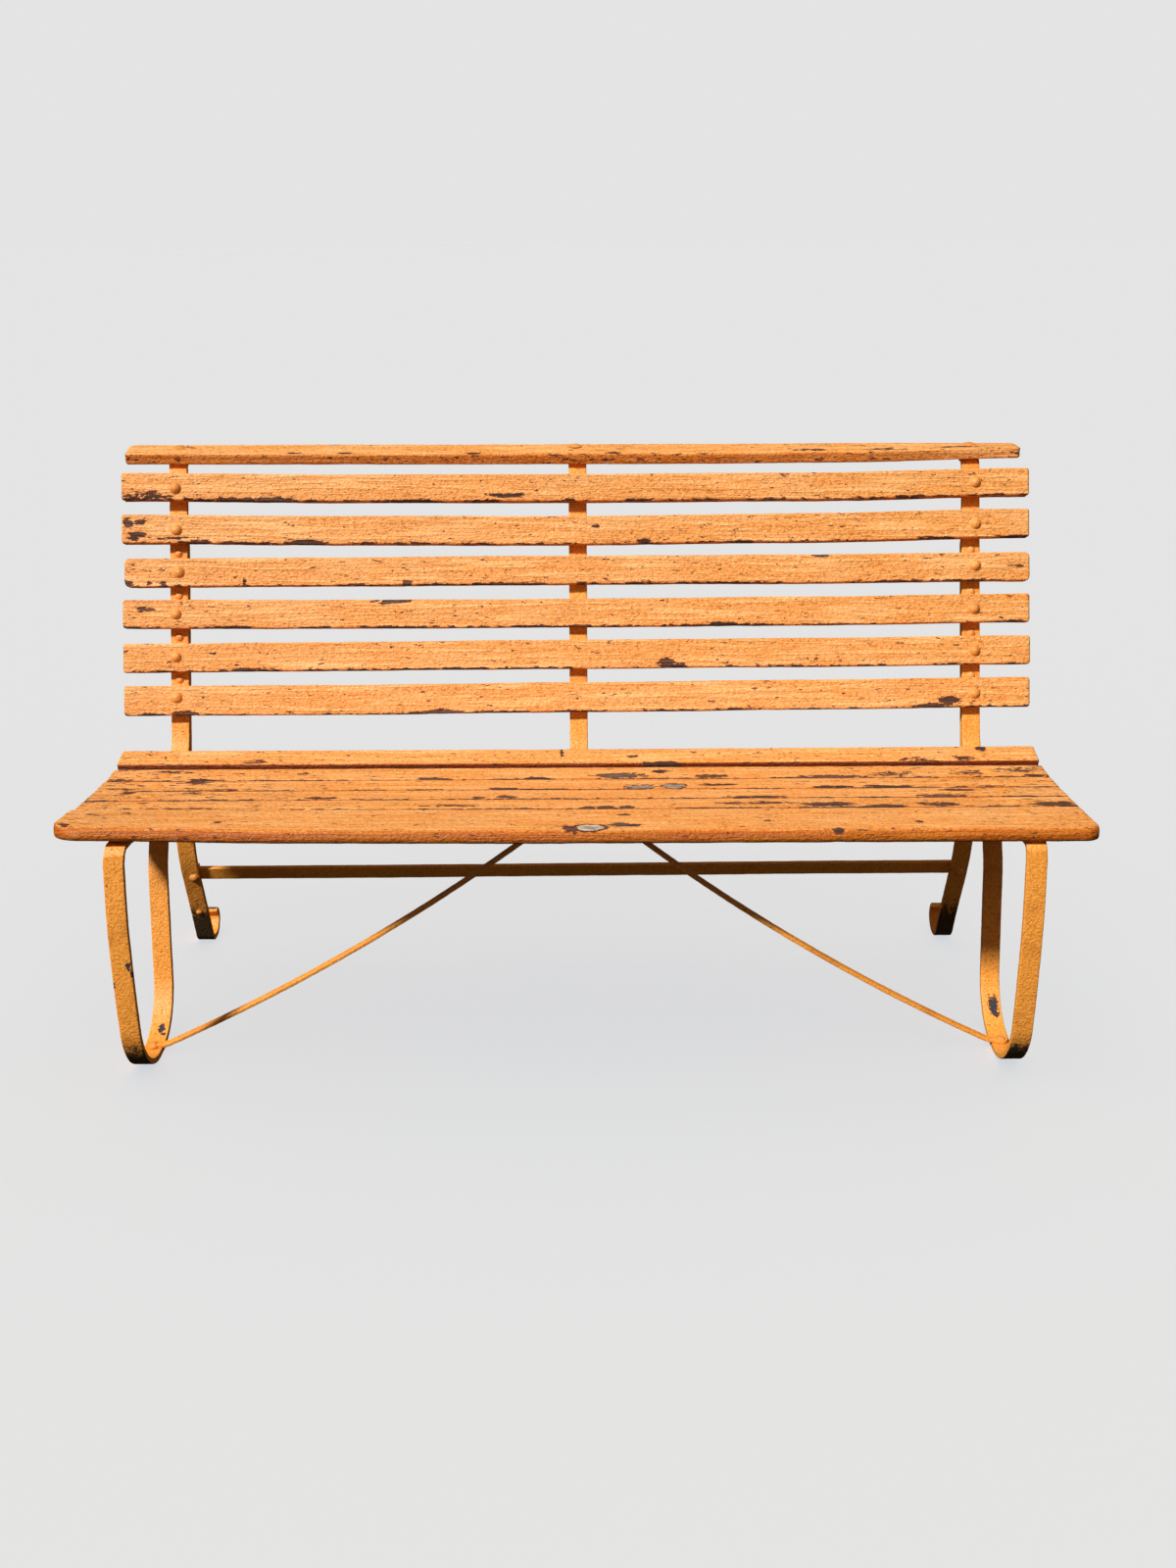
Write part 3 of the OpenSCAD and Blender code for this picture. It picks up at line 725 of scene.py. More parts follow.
def enamel_on_iron(paint, name, coat, sizes, shine):
    """Gloss enamel brushed on hot-rolled wrought bar or on forged studs.

    The coat is smoother than on timber but pebbled by scale and old drips. Chips show dark
    oxidised iron with a maroon rim, and dirt and algae climb from the ground.
    sizes are those of a paint lump and of a chip in millimetres, shine the roughness range.
    """
    material, t = finish_material(name)
    lump_size, chip_size = sizes
    place = node(t, "ShaderNodeTexCoord", out="Object")
    # lumps of paint, thin patches 70 mm across, flakes and pinholes, 1 mm in life and drawn at 4 mm
    pebbles, patches, flakes, pinholes = (
        node(t, NOISE, {"Vector": place, "Scale": 1.0 / (size * MM), "Detail": detail,
                        "Roughness": breakup})
        for size, detail, breakup in ((lump_size, 2.5, 0.6), (PATCH, 3.0, 0.5), (chip_size, 4.0, 0.68),
                                      (PINHOLE, 1.0, 0.5)))
    worn, soiled = (node(t, LAYER, out="Fac", attribute_name=name) for name in ("worn", "soiled"))
    # the coat darker over the hollows as painted shade, lighter on its raised lumps as painted highlight (the
    # same pebbles lift the bump), thin patches, and pinholes down to the primer
    colour = paint.deep_coat_and_hollow_shade
    for pattern, start, end, least, most, shade in ((pebbles, 0.30, 0.56, 0.35, 1.0, coat),
                                                    (pebbles, 0.52, 0.72, 0.0, 0.4, paint.light_coat_and_raised_highlight),
                                                    (patches, 0.34, 0.50, 0.45, 0.0, paint.deep_coat_and_hollow_shade),
                                                    (pinholes, 0.75, 0.78, 0.0, 0.85, paint.undercoat)):
        share = node(t, EASE, {0: pattern, 1: start, 2: end, 3: least, 4: most}, **SOFT)
        colour = node(t, MIX, {0: share, 6: colour, 7: shade}, **TINT)
    ragged = node(t, MATH, {0: flakes, 1: 0.5}, **LESS)
    edge = node(t, MATH, {0: worn, 1: node(t, MATH, {0: ragged, 1: 2.4}, **TIMES)}, **PLUS)
    chip = node(t, EASE, {0: edge, 1: 0.42, 2: 0.46}, **SOFT)
    inside = node(t, MIX, {0: node(t, EASE, {0: edge, 1: 0.52, 2: 0.60}, **SOFT),
                           6: paint.undercoat, 7: paint.bare_iron}, **TINT)
    colour = node(t, MIX, {0: chip, 6: colour, 7: inside}, **TINT)
    dirt = node(t, MATH, {0: soiled, 1: node(t, MATH, {0: ragged, 1: 1.8}, **TIMES)}, **PLUS)
    mud = node(t, EASE, {0: dirt, 1: 0.30, 2: 0.75, 4: 0.95}, **SOFT)
    colour = node(t, MIX, {0: mud, 6: colour, 7: paint.grime}, **TINT)
    gloss = node(t, EASE, {0: pebbles, 1: 0.3, 2: 0.7, 3: shine[0], 4: shine[1]}, **SOFT)
    for dull, more in ((chip, 0.3), (mud, 0.25)):
        gloss = node(t, MATH, {0: gloss, 1: node(t, MATH, {0: dull, 1: more}, **TIMES)}, **PLUS)
    height = node(t, MATH, {0: pebbles, 1: node(t, MATH, {0: chip, 1: 0.6}, **TIMES)}, **LESS)
    relief = node(t, "ShaderNodeBump", {"Height": height, "Strength": 1.0, "Distance": 0.0018})
    skin = node(t, "ShaderNodeBsdfPrincipled",
                {"Base Color": colour, "Roughness": gloss, "IOR": 1.5, "Normal": relief})
    node(t, "ShaderNodeOutputMaterial", {"Surface": skin})
    return material


def plain_floor(colour):
    """Matt paper sweep: even and pale, with a tooth too fine to see."""
    material, t = finish_material("matt_paper_sweep")
    place = node(t, "ShaderNodeTexCoord", out="Object")
    tooth = node(t, NOISE, {"Vector": place, "Scale": 600.0})
    relief = node(t, "ShaderNodeBump", {"Height": tooth, "Strength": 0.05, "Distance": 0.0002})
    sheet = node(t, "ShaderNodeBsdfPrincipled",
                 {"Base Color": colour, "Roughness": 0.95, "Specular IOR Level": 0.0, "Normal": relief})
    node(t, "ShaderNodeOutputMaterial", {"Surface": sheet})
    return material


FINISHES = {}


def finish(name):
    """A finish by its short name, made once."""
    if not FINISHES:
        paint = bpy.context.scene.bench_paint
        FINISHES["timber"] = enamel_on_softwood(paint)
        FINISHES["iron"] = enamel_on_iron(
            paint, "brushed_enamel_on_flat_iron", paint.iron_coat, (3.8, 8.0), (0.38, 0.50))
        FINISHES["studs"] = enamel_on_iron(
            paint, "brushed_enamel_on_forged_studs", paint.coat, (2.6, 5.0), (0.24, 0.36))
    return FINISHES[name]


# ---------------------------------------------------------------- worn places
# (along the board from the middle, across it, half length, half width, silvered if not 0), in
# mm, where a back slat's low edge and a seat board's front edge are at minus half its width

SLAT_WEAR = {
    1: [(-764, -17, 46, 10, -1), (-600, -24, 46, 6), (-545, -23, 40, 7), (-665, -25, 24, 4),
        (-120, -14, 34, 4), (-300, -25, 60, 3)],
    2: [(-796, 12, 9, 8), (-776, 13, 12, 5), (-780, -9, 14, 5), (-790, -17, 12, 4),
        (-720, -16, 60, 3, -1), (-478, -23, 40, 6), (-672, -24, 24, 5), (124, -22, 14, 6),
        (38, 6, 7, 3)],
    3: [(-800, -21, 12, 7), (-760, -18, 5, 4), (-735, -19, 5, 4), (-590, -16, 4, 4),
        (440, 24, 16, 4), (-300, -21, 9, 5), (790, 1, 16, 2.5)],
    4: [(-330, 22, 30, 5), (260, -24, 34, 5), (-770, 8, 16, 4)],
    5: [(161, -16, 17, 8), (176, -22, 26, 6), (-590, -24, 30, 5)],
    6: [(668, -14, 20, 7), (640, -23, 30, 6), (-240, -24, 34, 5), (-700, -23, 24, 5)],
}
# each back slat: how far its left end is cut short, how far its right end runs on, how much
# wider and thicker it is than the rest, its corner radius, and how far it slid along the bars
SLAT_SHAPE = {
    1: (2, 1, -2.5, 5, 3, (0.0, -4.5, -5.5, -4.5, 2.0)),
    2: (1, 2, 0, 2, 3, (0.0, -3.8, -5.5, -2.4, 4.0)),
    3: (5, 3, 0, 0.5, 9, (-2.6, -2.2, -1.0, -0.5, 1.7)),
    4: (1, 3, 0, 0, 4, (-0.9, -2.4, -2.2, -0.6, 3.2)),
    5: (1, 4, 0.5, 0, 4, (-4.2, -2.6, -0.9, 0.6, 3.2)),
    6: (2, 3, 2.5, 0, 5, (-5.4, -5.2, -2.6, 0.0, 3.0)),
}
SEAT_WEAR = {
    "seat_rear_slat": [(-26, 12, 2.2, 12), (100, -2, 10, 5), (-715, 0, 14, 10, -1), (-560, -14, 26, 7, -1),
                       (718, 16, 9, 8), (600, -19, 36, 8, -1), (680, -16, 22, 8, -1), (150, -25, 30, 6)],
    "seat_board_1": [(76, -12, 44, 12, 0.12), (146, 7, 16, 8), (231, -16, 26, 9), (-69, -25, 22, 9),
                     (-244, -25, 26, 9), (544, -11, 40, 12, -1), (440, -23, 60, 8), (681, -7, 34, 12, -1),
                     (765, 5, 36, 14, -1), (790, -22, 18, 8), (-780, -22, 24, 9, -1), (-640, -24, 40, 8, -1),
                     (-700, 14, 40, 7, -1), (-470, 4, 12, 6, -1)],
    "seat_board_2": [(107, -17, 28, 14, 0.45), (165, -13, 24, 15, 0.5), (-646, 20, 18, 8), (432, -22, 36, 8),
                     (530, -22, 46, 8), (240, -6, 34, 6), (-120, -25, 26, 7), (-600, -24, 50, 7, -1),
                     (-760, -14, 30, 8, -1), (700, -24, 34, 8, -1)],
    "seat_board_3": [(-114, -15, 16, 9), (-160, -20, 12, 7), (-716, -6, 14, 11, -1), (-748, 20, 12, 7),
                     (-640, 18, 20, 8, -1), (600, -22, 44, 9), (300, -23, 50, 7), (640, 14, 30, 7),
                     (-420, -18, 26, 7)],
    "seat_board_4": [(46, -19, 16, 8), (82, -20, 12, 8), (20, -24, 12, 8), (290, -2, 70, 10, -1),
                     (408, -10, 44, 13), (500, -22, 34, 9), (591, -13, 34, 12), (773, -15, 36, 13),
                     (-725, -22, 10, 8), (-640, -20, 60, 7, -1), (-200, -8, 50, 8, -1), (-400, -25, 60, 6, -1)],
}
FRONT_WEAR = [(20, -40, 31, 19, 1.0), (-8, -45, 15, 15), (66, -27, 18, 11, 0.1), (86, -30, 14, 8),
              (76, 28, 12, 5), (-758, 25, 26, 8, -1), (-718, 33, 18, 8, -1), (-793, -45, 9, 10),
              (405, -56, 9, 7), (537, -18, 7, 7), (-560, -16, 6, 6), (300, -8, 6, 5)]


def lay_timber(replaced, *args, **settings):
    """One board in place of a node, from the arguments of its plank."""
    skin = Skin(replaced)
    plank(skin, *args, **settings)
    skin.make("timber")


def lay_bar(replaced, line, x, side, seed, **settings):
    """One flat bar in place of a node, still to be made."""
    iron = bpy.context.scene.bench_iron
    skin = Skin(replaced)
    bar(skin, line, x, iron.bar_width / MM, iron.bar_thickness / MM, side, seed=seed, lump=iron.lump,
        edge=iron.edge / MM, **settings)
    return skin


def lay_studs(replaced, studs, sides=28, wobble=0.03):
    """Bolts or rivets in place of a node, from the profile, place and seed of each."""
    skin = Skin(replaced)
    for profile, place, seed in studs:
        skin.lathe(profile, place, sides, wobble, seed)
    skin.make("studs")


# ---------------------------------------------------------------- operators


class BENCH_OT_back_slats(bpy.types.Operator):
    """Six painted back slats, each with its own bow, arris and chips"""

    bl_idname = "bench.back_slats"
    bl_label = "Back Slats"

    def execute(self, context):
        t = context.scene.bench_timber
        half = t.slat_length / MM / 2
        arris = t.arris / MM
        for k, (left, right, wider, thicker, corner, slide) in SLAT_SHAPE.items():
            place = on_bar(slat_d(6 - k))
            # painted shade, with settled dirt, along each slat's low edge and underside
            lay_timber(f"back_slat_{k}", place, left - half, half + right, t.slat_width / MM + wider,
                       t.slat_thickness / MM + thicker, (arris,) * 4, SLAT_WEAR[k], seed=k,
                       lump=t.lump, edge_wear=1.9, twist=(0.5 * rough(k, 0, 0, 3, 1.7), -0.4),
                       slide=slide, end_round=4.0, nose=corner, heel=corner, soil=(0.6,),
                       pits=(0.40, 0.0, 0.0, 0.0, 0.25))
        return {"FINISHED"}


class BENCH_OT_top_rail(bpy.types.Operator):
    """Top rail with round edges, twisted so that its left end tips forward"""

    bl_idname = "bench.top_rail"
    bl_label = "Top Rail"

    def execute(self, context):
        t = context.scene.bench_timber
        half = t.rail_length / MM / 2
        wear = [(-690, 8, 12, 6, -1), (-500, -19, 14, 3), (-410, -19, 12, 4), (-180, -19, 18, 4),
                (70, -18, 14, 4), (420, -10, 44, 7, -1), (560, -12, 40, 7, -1), (690, -8, 40, 8, -1)]
        # painted shade, with settled dirt, on the rail's front face and underside, fading out at the right end
        lay_timber("top_rail", on_bar(RAIL_D), -half - 5, half - 1, t.slat_width / MM,
                   t.slat_thickness / MM, (3.5, 4, 5, 3.5), wear, seed=11, lump=t.lump, centre=-9,
                   twist=(7.5, 8.7, 9.0, 9.5, 8.0, -3.5), end_round=6.0,
                   lift=(1.0, 0.0, -0.8, -1.2, -0.8, 0.0), nose=8.0, heel=18.0, edge_wear=0.5,
                   soil=(1.0, 0.95, 0.95, 0.95, 0.8, 0.2), pits=(0.2, 0.1, 0.0, 0.4, 0.6))
        return {"FINISHED"}


class BENCH_OT_seat_boards(bpy.types.Operator):
    """The raised rear slat and the four middle seat boards"""

    bl_idname = "bench.seat_boards"
    bl_label = "Seat Boards"

    def execute(self, context):
        t = context.scene.bench_timber
        half = t.slat_length / MM / 2
        arris = t.arris / MM
        # painted shade, with settled dirt, darkens each board's front edge and underside
        # how far each board's left end is cut short and its right end runs on, from the front
        ends = ((-2, 2), (-1, 3), (0, 4), (3, 4))
        soft = dict(end_round=4.0, nose=4.0, heel=4.0)
        for k, (left, right) in enumerate(ends):
            name = f"seat_board_{4 - k}"
            lay_timber(name, on_bar(board_d(k)), left - half, half + right, t.board_width / MM,
                       t.board_thickness / MM, (arris,) * 4, SEAT_WEAR[name], seed=20 + k,
                       lump=t.lump * 1.2, edge_wear=2.4, soil=(1.7,),
                       pits=(0.9, 0.7, 0.3, 0.4, 0.6, 0.85), **soft)
        # painted shade: the rear slat's front face, down in the gap behind the first board, is darkened most
        lay_timber("seat_rear_slat", on_bar(REAR_D), 4 - half, half + 4, t.rear_width / MM,
                   t.board_thickness / MM, (arris,) * 4, SEAT_WEAR["seat_rear_slat"], seed=27,
                   lump=t.lump, edge_wear=0.3, soil=(2.0,), twist=(-0.8, 0.4), lift=(1.0, 0.0, 1.5),
                   pits=(0.6, 0.2, 0.1, 0.25, 0.6), **soft)
        return {"FINISHED"}


class BENCH_OT_front_board(bpy.types.Operator):
    """Wide front board with a round nose and rounded corners"""

    bl_idname = "bench.front_board"
    bl_label = "Front Board"

    def execute(self, context):
        t = context.scene.bench_timber
        half = t.slat_length / MM / 2
        width = t.front_width / MM
        # painted shade, with settled dirt, darkens the round nose and the underside
        lay_timber("seat_front_board", on_bar(SEAT_D - BOARD_GAP), -half - 5, half + 3, width,
                   t.board_thickness / MM, (8.5, 3, 3, 13.0), FRONT_WEAR, seed=31, lump=t.lump * 1.2,
                   centre=-width / 2, nose=(48.0, 27.0), heel=(15.0, 10.0), end_round=6.0,
                   twist=(-2.4, -0.6, 0.0, 0.0, 0.3), lift=(4.0, 1.0, 0.0, 0.0, 0.0), soil=(1.35,),
                   pits=(0.7, 0.4, 0.1, 0.05, 0.2))
        return {"FINISHED"}


class BENCH_OT_side_bars(bpy.types.Operator):
    """The two flat bars that make the front loops, seat bearers and uprights"""

    bl_idname = "bench.side_bars"
    bl_label = "Side Bars"

    def execute(self, context):
        back = walk((FOOT_Y, 0.0, 0.0), LOOP)
        loop_length = sum(run[0] for run in LOOP)
        line = [(s[0], s[1], s[2] + 180) for s in reversed(back)] + walk(FOOT, MAIN)[1:]
        # distances along the bar from the back of the loop's head, round the foot and up the front
        chips = {
            "left": [(loop_length - 60, 4, 12, 6, 1), (loop_length - 44, 10, 5, 4, 1),
                     (loop_length + 283, 12, 10, 3.5), (loop_length + 268, 14, 6, 3),
                     (loop_length + 249, -14, 6, 3.5)],
            "right": [(loop_length - 96, 3, 21, 9, 1), (loop_length + 40, 4, 22, 8),
                      (loop_length + 120, -6, 12, 5)],
        }
        for side, x in SIDES:
            lay_bar(f"{side}_side_bar", line, x, -1, 41 if x < 0 else 43, spots=chips[side],
                    sway=LOOP_SWAY[side], dirt=(95, FOOT_Y + 20)).make("iron")
        return {"FINISHED"}


class BENCH_OT_centre_bar(bpy.types.Operator):
    """The middle bearer and upright"""

    bl_idname = "bench.centre_bar"
    bl_label = "Centre Bar"

    def execute(self, context):
        line = walk(on_bar(SEAT_D - 92), [(92, 0)] + SEAT_RUNS + UPRIGHT_RUNS)
        lay_bar("centre_bar", line, 4.5, -1, 45).make("iron")
        return {"FINISHED"}


class BENCH_OT_rear_legs(bpy.types.Operator):
    """The two bars behind the uprights that run down to scrolled rear feet"""

    bl_idname = "bench.rear_legs"
    bl_label = "Rear Legs"

    def execute(self, context):
        for side, x in SIDES:
            skin = lay_bar(f"{side}_rear_leg", walk(LEG_START, LEG), x, 1, 47 if x < 0 else 49,
                           sway=LEG_SWAY[side], dirt=(130, 1000))
            if side == "left":
                # a stub of an old rivet left in the shin
                down = min(range(int(sum(run[0] for run in LEG))),
                           key=lambda d: abs(state_at(LEG_START, LEG, d)[1] - STUB_HEIGHT))
                lean = at_height(LEG_SWAY[side], STUB_HEIGHT)
                skin.lathe(stud_profile(11, 2.4, 0, 6, 5, 1.0),
                           on_face(state_at(LEG_START, LEG, down), x + lean) @ FLIP,
                           sides=20, wobble=0.05, seed=58)
            skin.make("iron")
        return {"FINISHED"}


class BENCH_OT_cross_bar(bpy.types.Operator):
    """The bar bolted across the backs of the rear legs"""

    bl_idname = "bench.cross_bar"
    bl_label = "Cross Bar"

    def execute(self, context):
        iron = context.scene.bench_iron
        half = SIDE_X + iron.bar_width / MM / 2
        a = math.radians(CROSS[2])
        back = BAR_T + 0.2
        place = (CROSS[0] - back * math.sin(a), CROSS[1] + back * math.cos(a), CROSS[2])
        skin = Skin("rear_cross_bar")
        plank(skin, place, -half, half, 28, 8, (iron.edge / MM,) * 4, seed=51, lump=iron.lump,
              end_round=iron.edge / MM, lift=(-5.0, -1.0), step=9.0)
        skin.make("iron")
        return {"FINISHED"}


class BENCH_OT_stays(bpy.types.Operator):
    """The two thin stays from the front loops up to the middle bearer"""

    bl_idname = "bench.stays"
    bl_label = "Stays"

    def execute(self, context):
        iron = context.scene.bench_iron
        rise = STAY_TOP[0] - STAY_Y
        plan = math.hypot(rise, SIDE_X)
        turn = math.atan2(rise, SIDE_X)
        toe, eye, foot = 12, 11.0, BAR_T + 0.2
        for side, name in ((-1, "left"), (1, "right")):
            # flat on the loop's foot, bent up, climbing in a slow bow, and flat again at the top
            lean, climb = (23.0, 725.8) if side < 0 else (23.8, 694.0)
            runs = [(toe, 0), arc(50, lean), (climb, 13), arc(50, -13 - lean)]
            top = line_end((0.0, foot, 0.0), runs)
            runs = [(eye + toe, 0)] + runs[1:] + [(plan - top[0] + eye, 0)]
            line = [(e - eye, foot, 0.0) for e in (0.02, 0.4, 1.5)]
            line += [(-eye + 3.0 * k, foot, 0.0) for k in range(1, 8)]
            line += [s for s in walk((-eye, foot, 0.0), runs, 5.0) if s[0] > line[-1][0] + 1.0]
            line = [s for s in line if s[0] < plan - 10]
            level = line[-1][1]
            line += [(plan - 9 + 3.0 * k, level, 0.0) for k in range(7)]
            line += [(plan + eye - e, level, 0.0) for e in (1.5, 0.4, 0.02)]
            total = sum(math.dist(a[:2], b[:2]) for a, b in zip(line, line[1:]))
            half = iron.stay_width / MM / 2

            def half_width(d, total=total):
                near = min(d, total - d) - eye
                lobe = math.sqrt(max(0.0, eye * eye - near * near)) if abs(near) < eye else 0.0
                return max(lobe, 0.0 if near < 0 else half, 0.15)

            angle = turn if side < 0 else math.pi - turn
            c, s = math.cos(angle), math.sin(angle)

            def place(a, v, b, side=side, c=c, s=s):
                return (side * SIDE_X + a * c - v * s, STAY_Y + a * s + v * c, b)

            skin = Skin(f"{name}_stay")
            bar(skin, line, 0.0, iron.stay_width / MM, iron.stay_thickness / MM, 1, seed=53 + side,
                lump=iron.lump, edge=1.2, widths=half_width, place=place)
            skin.make("iron")
        return {"FINISHED"}


class BENCH_OT_bolts(bpy.types.Operator):
    """Domed carriage bolts through the slats, boards, rail and cross bar"""

    bl_idname = "bench.bolts"
    bl_label = "Bolts"

    def execute(self, context):
        for side, x in SIDES:
            # the slats were drilled by eye, so the heads stray from the middle of the bar
            stray = {"left": (-1.5, -2, -1.5, 4.5, 1.2, 0.5), "right": (1.5, 2, 1, 3, 3, 2)}[side]
            drop = {"left": (0, -2, -1, -2, -2, -3.5), "right": (1, 2, 2, 4, 3, 1)}[side]
            studs = []
            for k in range(6):
                base = SLAT_T + SLAT_SHAPE[6 - k][3]
                reach = NUT_REACH + base + (2 if k < 4 else 1) * BAR_T
                studs.append((stud_profile(19, 6.4, base, 9, reach),
                              on_face(on_bar(slat_d(k) + drop[k]), x + stray[k]), 60 + k))
            lay_studs(f"{side}_back_bolts", studs)
            # the rearmost board bolt also goes through the loop's head
            lay_studs(f"{side}_seat_bolts", [
                (stud_profile(22, 2.5, BOARD_T, 9, BOARD_T + NUT_REACH + (2 if k == 3 else 1) * BAR_T),
                 on_face(on_bar(board_d(k)), x), 70 + k) for k in range(4)
            ] + [(stud_profile(22, 2.5, BOARD_T, 9, BOARD_T + 22), on_face(on_bar(d), x), 75)
                 for d in (FRONT_D, REAR_D)])
        lay_studs("rail_bolts", [
            (stud_profile(22, 3, SLAT_T, 9, SLAT_T + 22), on_face(on_bar(RAIL_D), x), 80 + i)
            for i, x in enumerate((-SIDE_X, 0.0, SIDE_X))])
        lay_studs("cross_bar_bolts", [
            (stud_profile(18, 5, 0, 9, 32), on_face(ahead(CROSS, (down, 0)), x) @ FLIP, 84 + i)
            for i, (x, down) in enumerate(((-SIDE_X, 7), (SIDE_X, 2)))])
        return {"FINISHED"}


class BENCH_OT_rivets(bpy.types.Operator):
    """Rivets that join the legs to the uprights and the stays to the loops"""

    bl_idname = "bench.rivets"
    bl_label = "Rivets"

    def execute(self, context):
        for side, x in SIDES:
            studs = []
            for k in range(4):
                here = on_face(on_bar(slat_d(k) + SLAT_PITCH / 2 - 4), x)
                studs.append((stud_profile(14, 4, 0, 6, 10, 1.0), here, 90 + k))
                studs.append((stud_profile(14, 4, 2 * BAR_T, 6, 10, 1.0), here @ FLIP, 95 + k))
            lay_studs(f"{side}_leg_rivets", studs, 24, 0.04)
        lay_studs("stay_foot_rivets", [
            (stud_profile(12, 1.6, 16.3, 7, 15.5, 1.0),
             Matrix.Translation(Vector((x, STAY_Y, 0)) * MM), 100 + i)
            for i, x in enumerate((-SIDE_X, SIDE_X))], 24, 0.04)
        return {"FINISHED"}


class BENCH_OT_nuts_and_screws(bpy.types.Operator):
    """The frame's own nuts, washers and screws, with softened edges under the paint"""

    bl_idname = "bench.nuts_and_screws"
    bl_label = "Nuts and Screws"

    def execute(self, context):
        names = [
            "left_back_nuts", "right_back_nuts", "left_seat_nuts", "right_seat_nuts", "rail_nuts",
            "cross_bar_nuts", "stay_top_nut", "stay_top_bolt", "centre_back_screws", "centre_seat_screws",
        ]
        for name in names:
            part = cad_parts[name]
            part.data.materials.clear()
            part.data.materials.append(finish("studs"))
            soft = part.modifiers.new("softened edges", "BEVEL")
            soft.width = 0.0007
            soft.segments = 2
            soft.limit_method = "ANGLE"
            soft.angle_limit = math.radians(35)
        return {"FINISHED"}


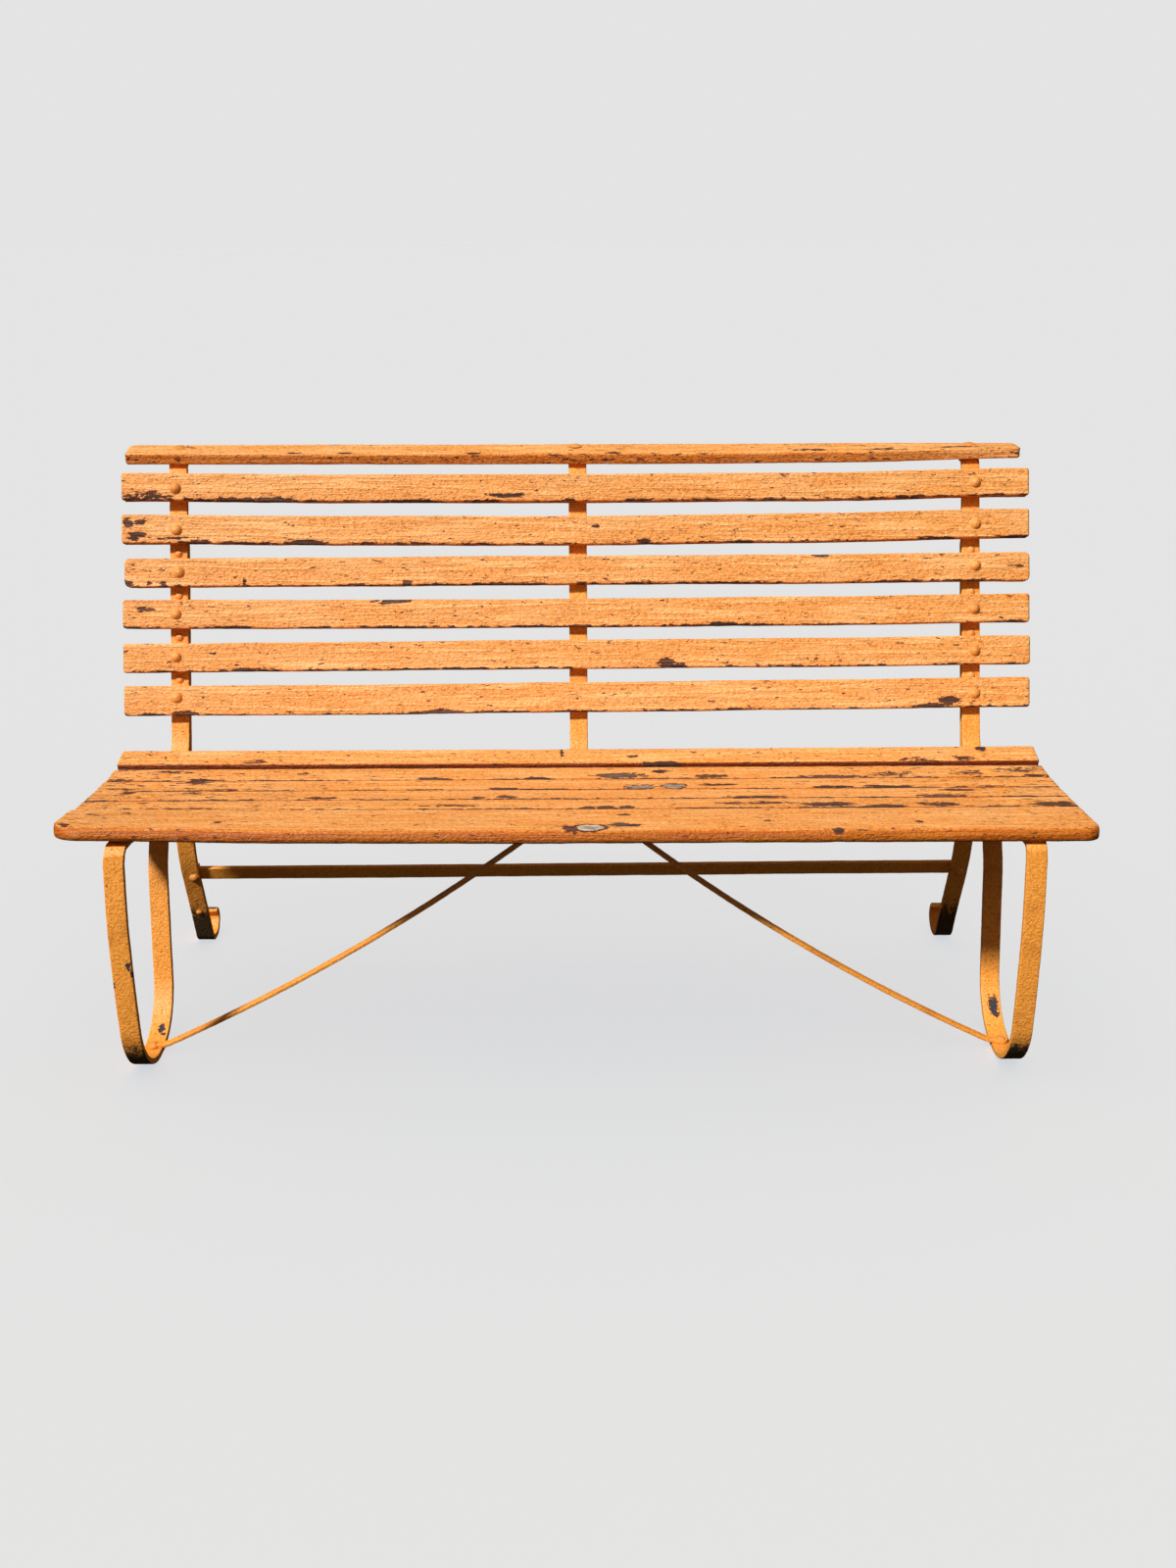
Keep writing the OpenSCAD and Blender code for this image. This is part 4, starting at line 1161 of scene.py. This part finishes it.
class BENCH_OT_stage(bpy.types.Operator):
    """Pale floor, soft lights and the camera"""

    bl_idname = "bench.stage"
    bl_label = "Stage"

    def execute(self, context):
        scene = context.scene
        stage = scene.bench_stage
        bm = bmesh.new()
        rings = [[bm.verts.new((r * math.cos(math.tau * k / 64), r * math.sin(math.tau * k / 64), 0.0))
                  for k in range(64)] for r in (1.5, 4.0, 12.0, 60.0)]
        bm.faces.new(rings[0])
        for a, b in zip(rings, rings[1:]):
            for k in range(64):
                m = (k + 1) % 64
                bm.faces.new((a[k], b[k], b[m], a[m]))
        mesh = bpy.data.meshes.new("floor")
        bm.to_mesh(mesh)
        bm.free()
        floor = bpy.data.objects.new("floor", mesh)
        scene.collection.objects.link(floor)
        mesh.materials.append(plain_floor(to_linear("E4E8EE")))
        floor.visible_diffuse = False
        floor.visible_glossy = False
        floor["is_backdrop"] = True

        on_bench = bpy.data.collections.new("lit by the key")
        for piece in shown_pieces():
            on_bench.objects.link(piece)
        on_floor = bpy.data.collections.new("lit by the floor light")
        on_floor.objects.link(floor)

        def sun(name, towards, strength, spread, takes):
            light = bpy.data.lights.new(name, "SUN")
            light.energy = strength
            light.angle = math.radians(spread)
            lamp = bpy.data.objects.new(name, light)
            lamp.rotation_mode = "QUATERNION"
            lamp.rotation_quaternion = Vector(towards).to_track_quat("-Z", "Y")
            scene.collection.objects.link(lamp)
            lamp.light_linking.receiver_collection = takes
            return lamp

        sun("key", (0.69, 0.705, -1.0), stage.key, 6.0, on_bench)
        sun("floor_light", (0.12, 0.1, -1.0), 0.06, 60.0, on_floor)
        # most of the floor's light passes the bench by, so only a faint shadow lies under it
        wash = sun("floor_wash", (0.0, 0.0, -1.0), 2.45, 10.0, on_floor)
        wash.light_linking.blocker_collection = on_floor

        world = bpy.data.worlds.new("room")
        world.use_nodes = True
        tree = world.node_tree
        tree.nodes.clear()
        around = node(tree, "ShaderNodeTexCoord", out="Generated")
        up = node(tree, "ShaderNodeSeparateXYZ", {0: around}, out="Z")
        level = node(tree, EASE, {0: up, 1: -0.25, 2: 0.25, 3: 0.18, 4: 1.0}, **SOFT)
        light = node(tree, "ShaderNodeBackground", {
            "Color": to_linear("FFEBC0"),
            "Strength": node(tree, MATH, {0: level, 1: stage.fill}, **TIMES)})
        seen = node(tree, "ShaderNodeBackground", {"Color": stage.backdrop, "Strength": 1.0})
        ray = node(tree, "ShaderNodeLightPath", out="Is Camera Ray")
        both = node(tree, "ShaderNodeMixShader", {0: ray, 1: light, 2: seen})
        node(tree, "ShaderNodeOutputWorld", {"Surface": both})
        scene.world = world
        scene.view_settings.view_transform = "Standard"

        camera = bpy.data.cameras.new("camera")
        camera.lens = stage.lens
        camera.sensor_width = 36.0
        camera.clip_start, camera.clip_end = 0.05, 200.0
        eye = bpy.data.objects.new("camera", camera)
        sp, cp = math.sin(stage.pitch), math.cos(stage.pitch)
        st, ct = math.sin(stage.turn), math.cos(stage.turn)
        forward = Vector((st * cp, ct * cp, -sp))
        right = Vector((ct, -st, 0.0))
        down = forward.cross(right)
        cr, sr = math.cos(stage.roll), math.sin(stage.roll)
        x_axis = right * cr - down * sr
        y_axis = -(right * sr + down * cr)
        turn = Matrix((x_axis, y_axis, -forward)).transposed().to_4x4()
        eye.matrix_world = Matrix.Translation(Vector(stage.camera_at)) @ turn
        scene.collection.objects.link(eye)
        scene.camera = eye
        return {"FINISHED"}


OPERATORS = (
    BENCH_OT_back_slats, BENCH_OT_top_rail, BENCH_OT_seat_boards, BENCH_OT_front_board,
    BENCH_OT_side_bars, BENCH_OT_centre_bar, BENCH_OT_rear_legs, BENCH_OT_cross_bar,
    BENCH_OT_stays, BENCH_OT_bolts, BENCH_OT_rivets, BENCH_OT_nuts_and_screws, BENCH_OT_stage,
)


class BENCH_PT_panel(bpy.types.Panel):
    """Lists the bench's sizes, colours and pieces"""

    bl_label = "Garden Bench"
    bl_idname = "BENCH_PT_panel"
    bl_space_type = "VIEW_3D"
    bl_region_type = "UI"
    bl_category = "Bench"

    def draw(self, context):
        for key, group in GROUPS.items():
            box = self.layout.box()
            for prop in group.__annotations__:
                box.prop(getattr(context.scene, key), prop)
        for operator in OPERATORS:
            self.layout.operator(operator.bl_idname)


def register():
    for cls in (*GROUPS.values(), *OPERATORS, BENCH_PT_panel):
        bpy.utils.register_class(cls)
    for key, group in GROUPS.items():
        setattr(bpy.types.Scene, key, PointerProperty(type=group))


def unregister():
    for key in GROUPS:
        delattr(bpy.types.Scene, key)
    for cls in reversed((*GROUPS.values(), *OPERATORS, BENCH_PT_panel)):
        bpy.utils.unregister_class(cls)


def main():
    """Build every piece in order."""
    register()
    for operator in OPERATORS:
        group, name = operator.bl_idname.split(".")
        getattr(getattr(bpy.ops, group), name)()


if __name__ == "__main__":
    main()
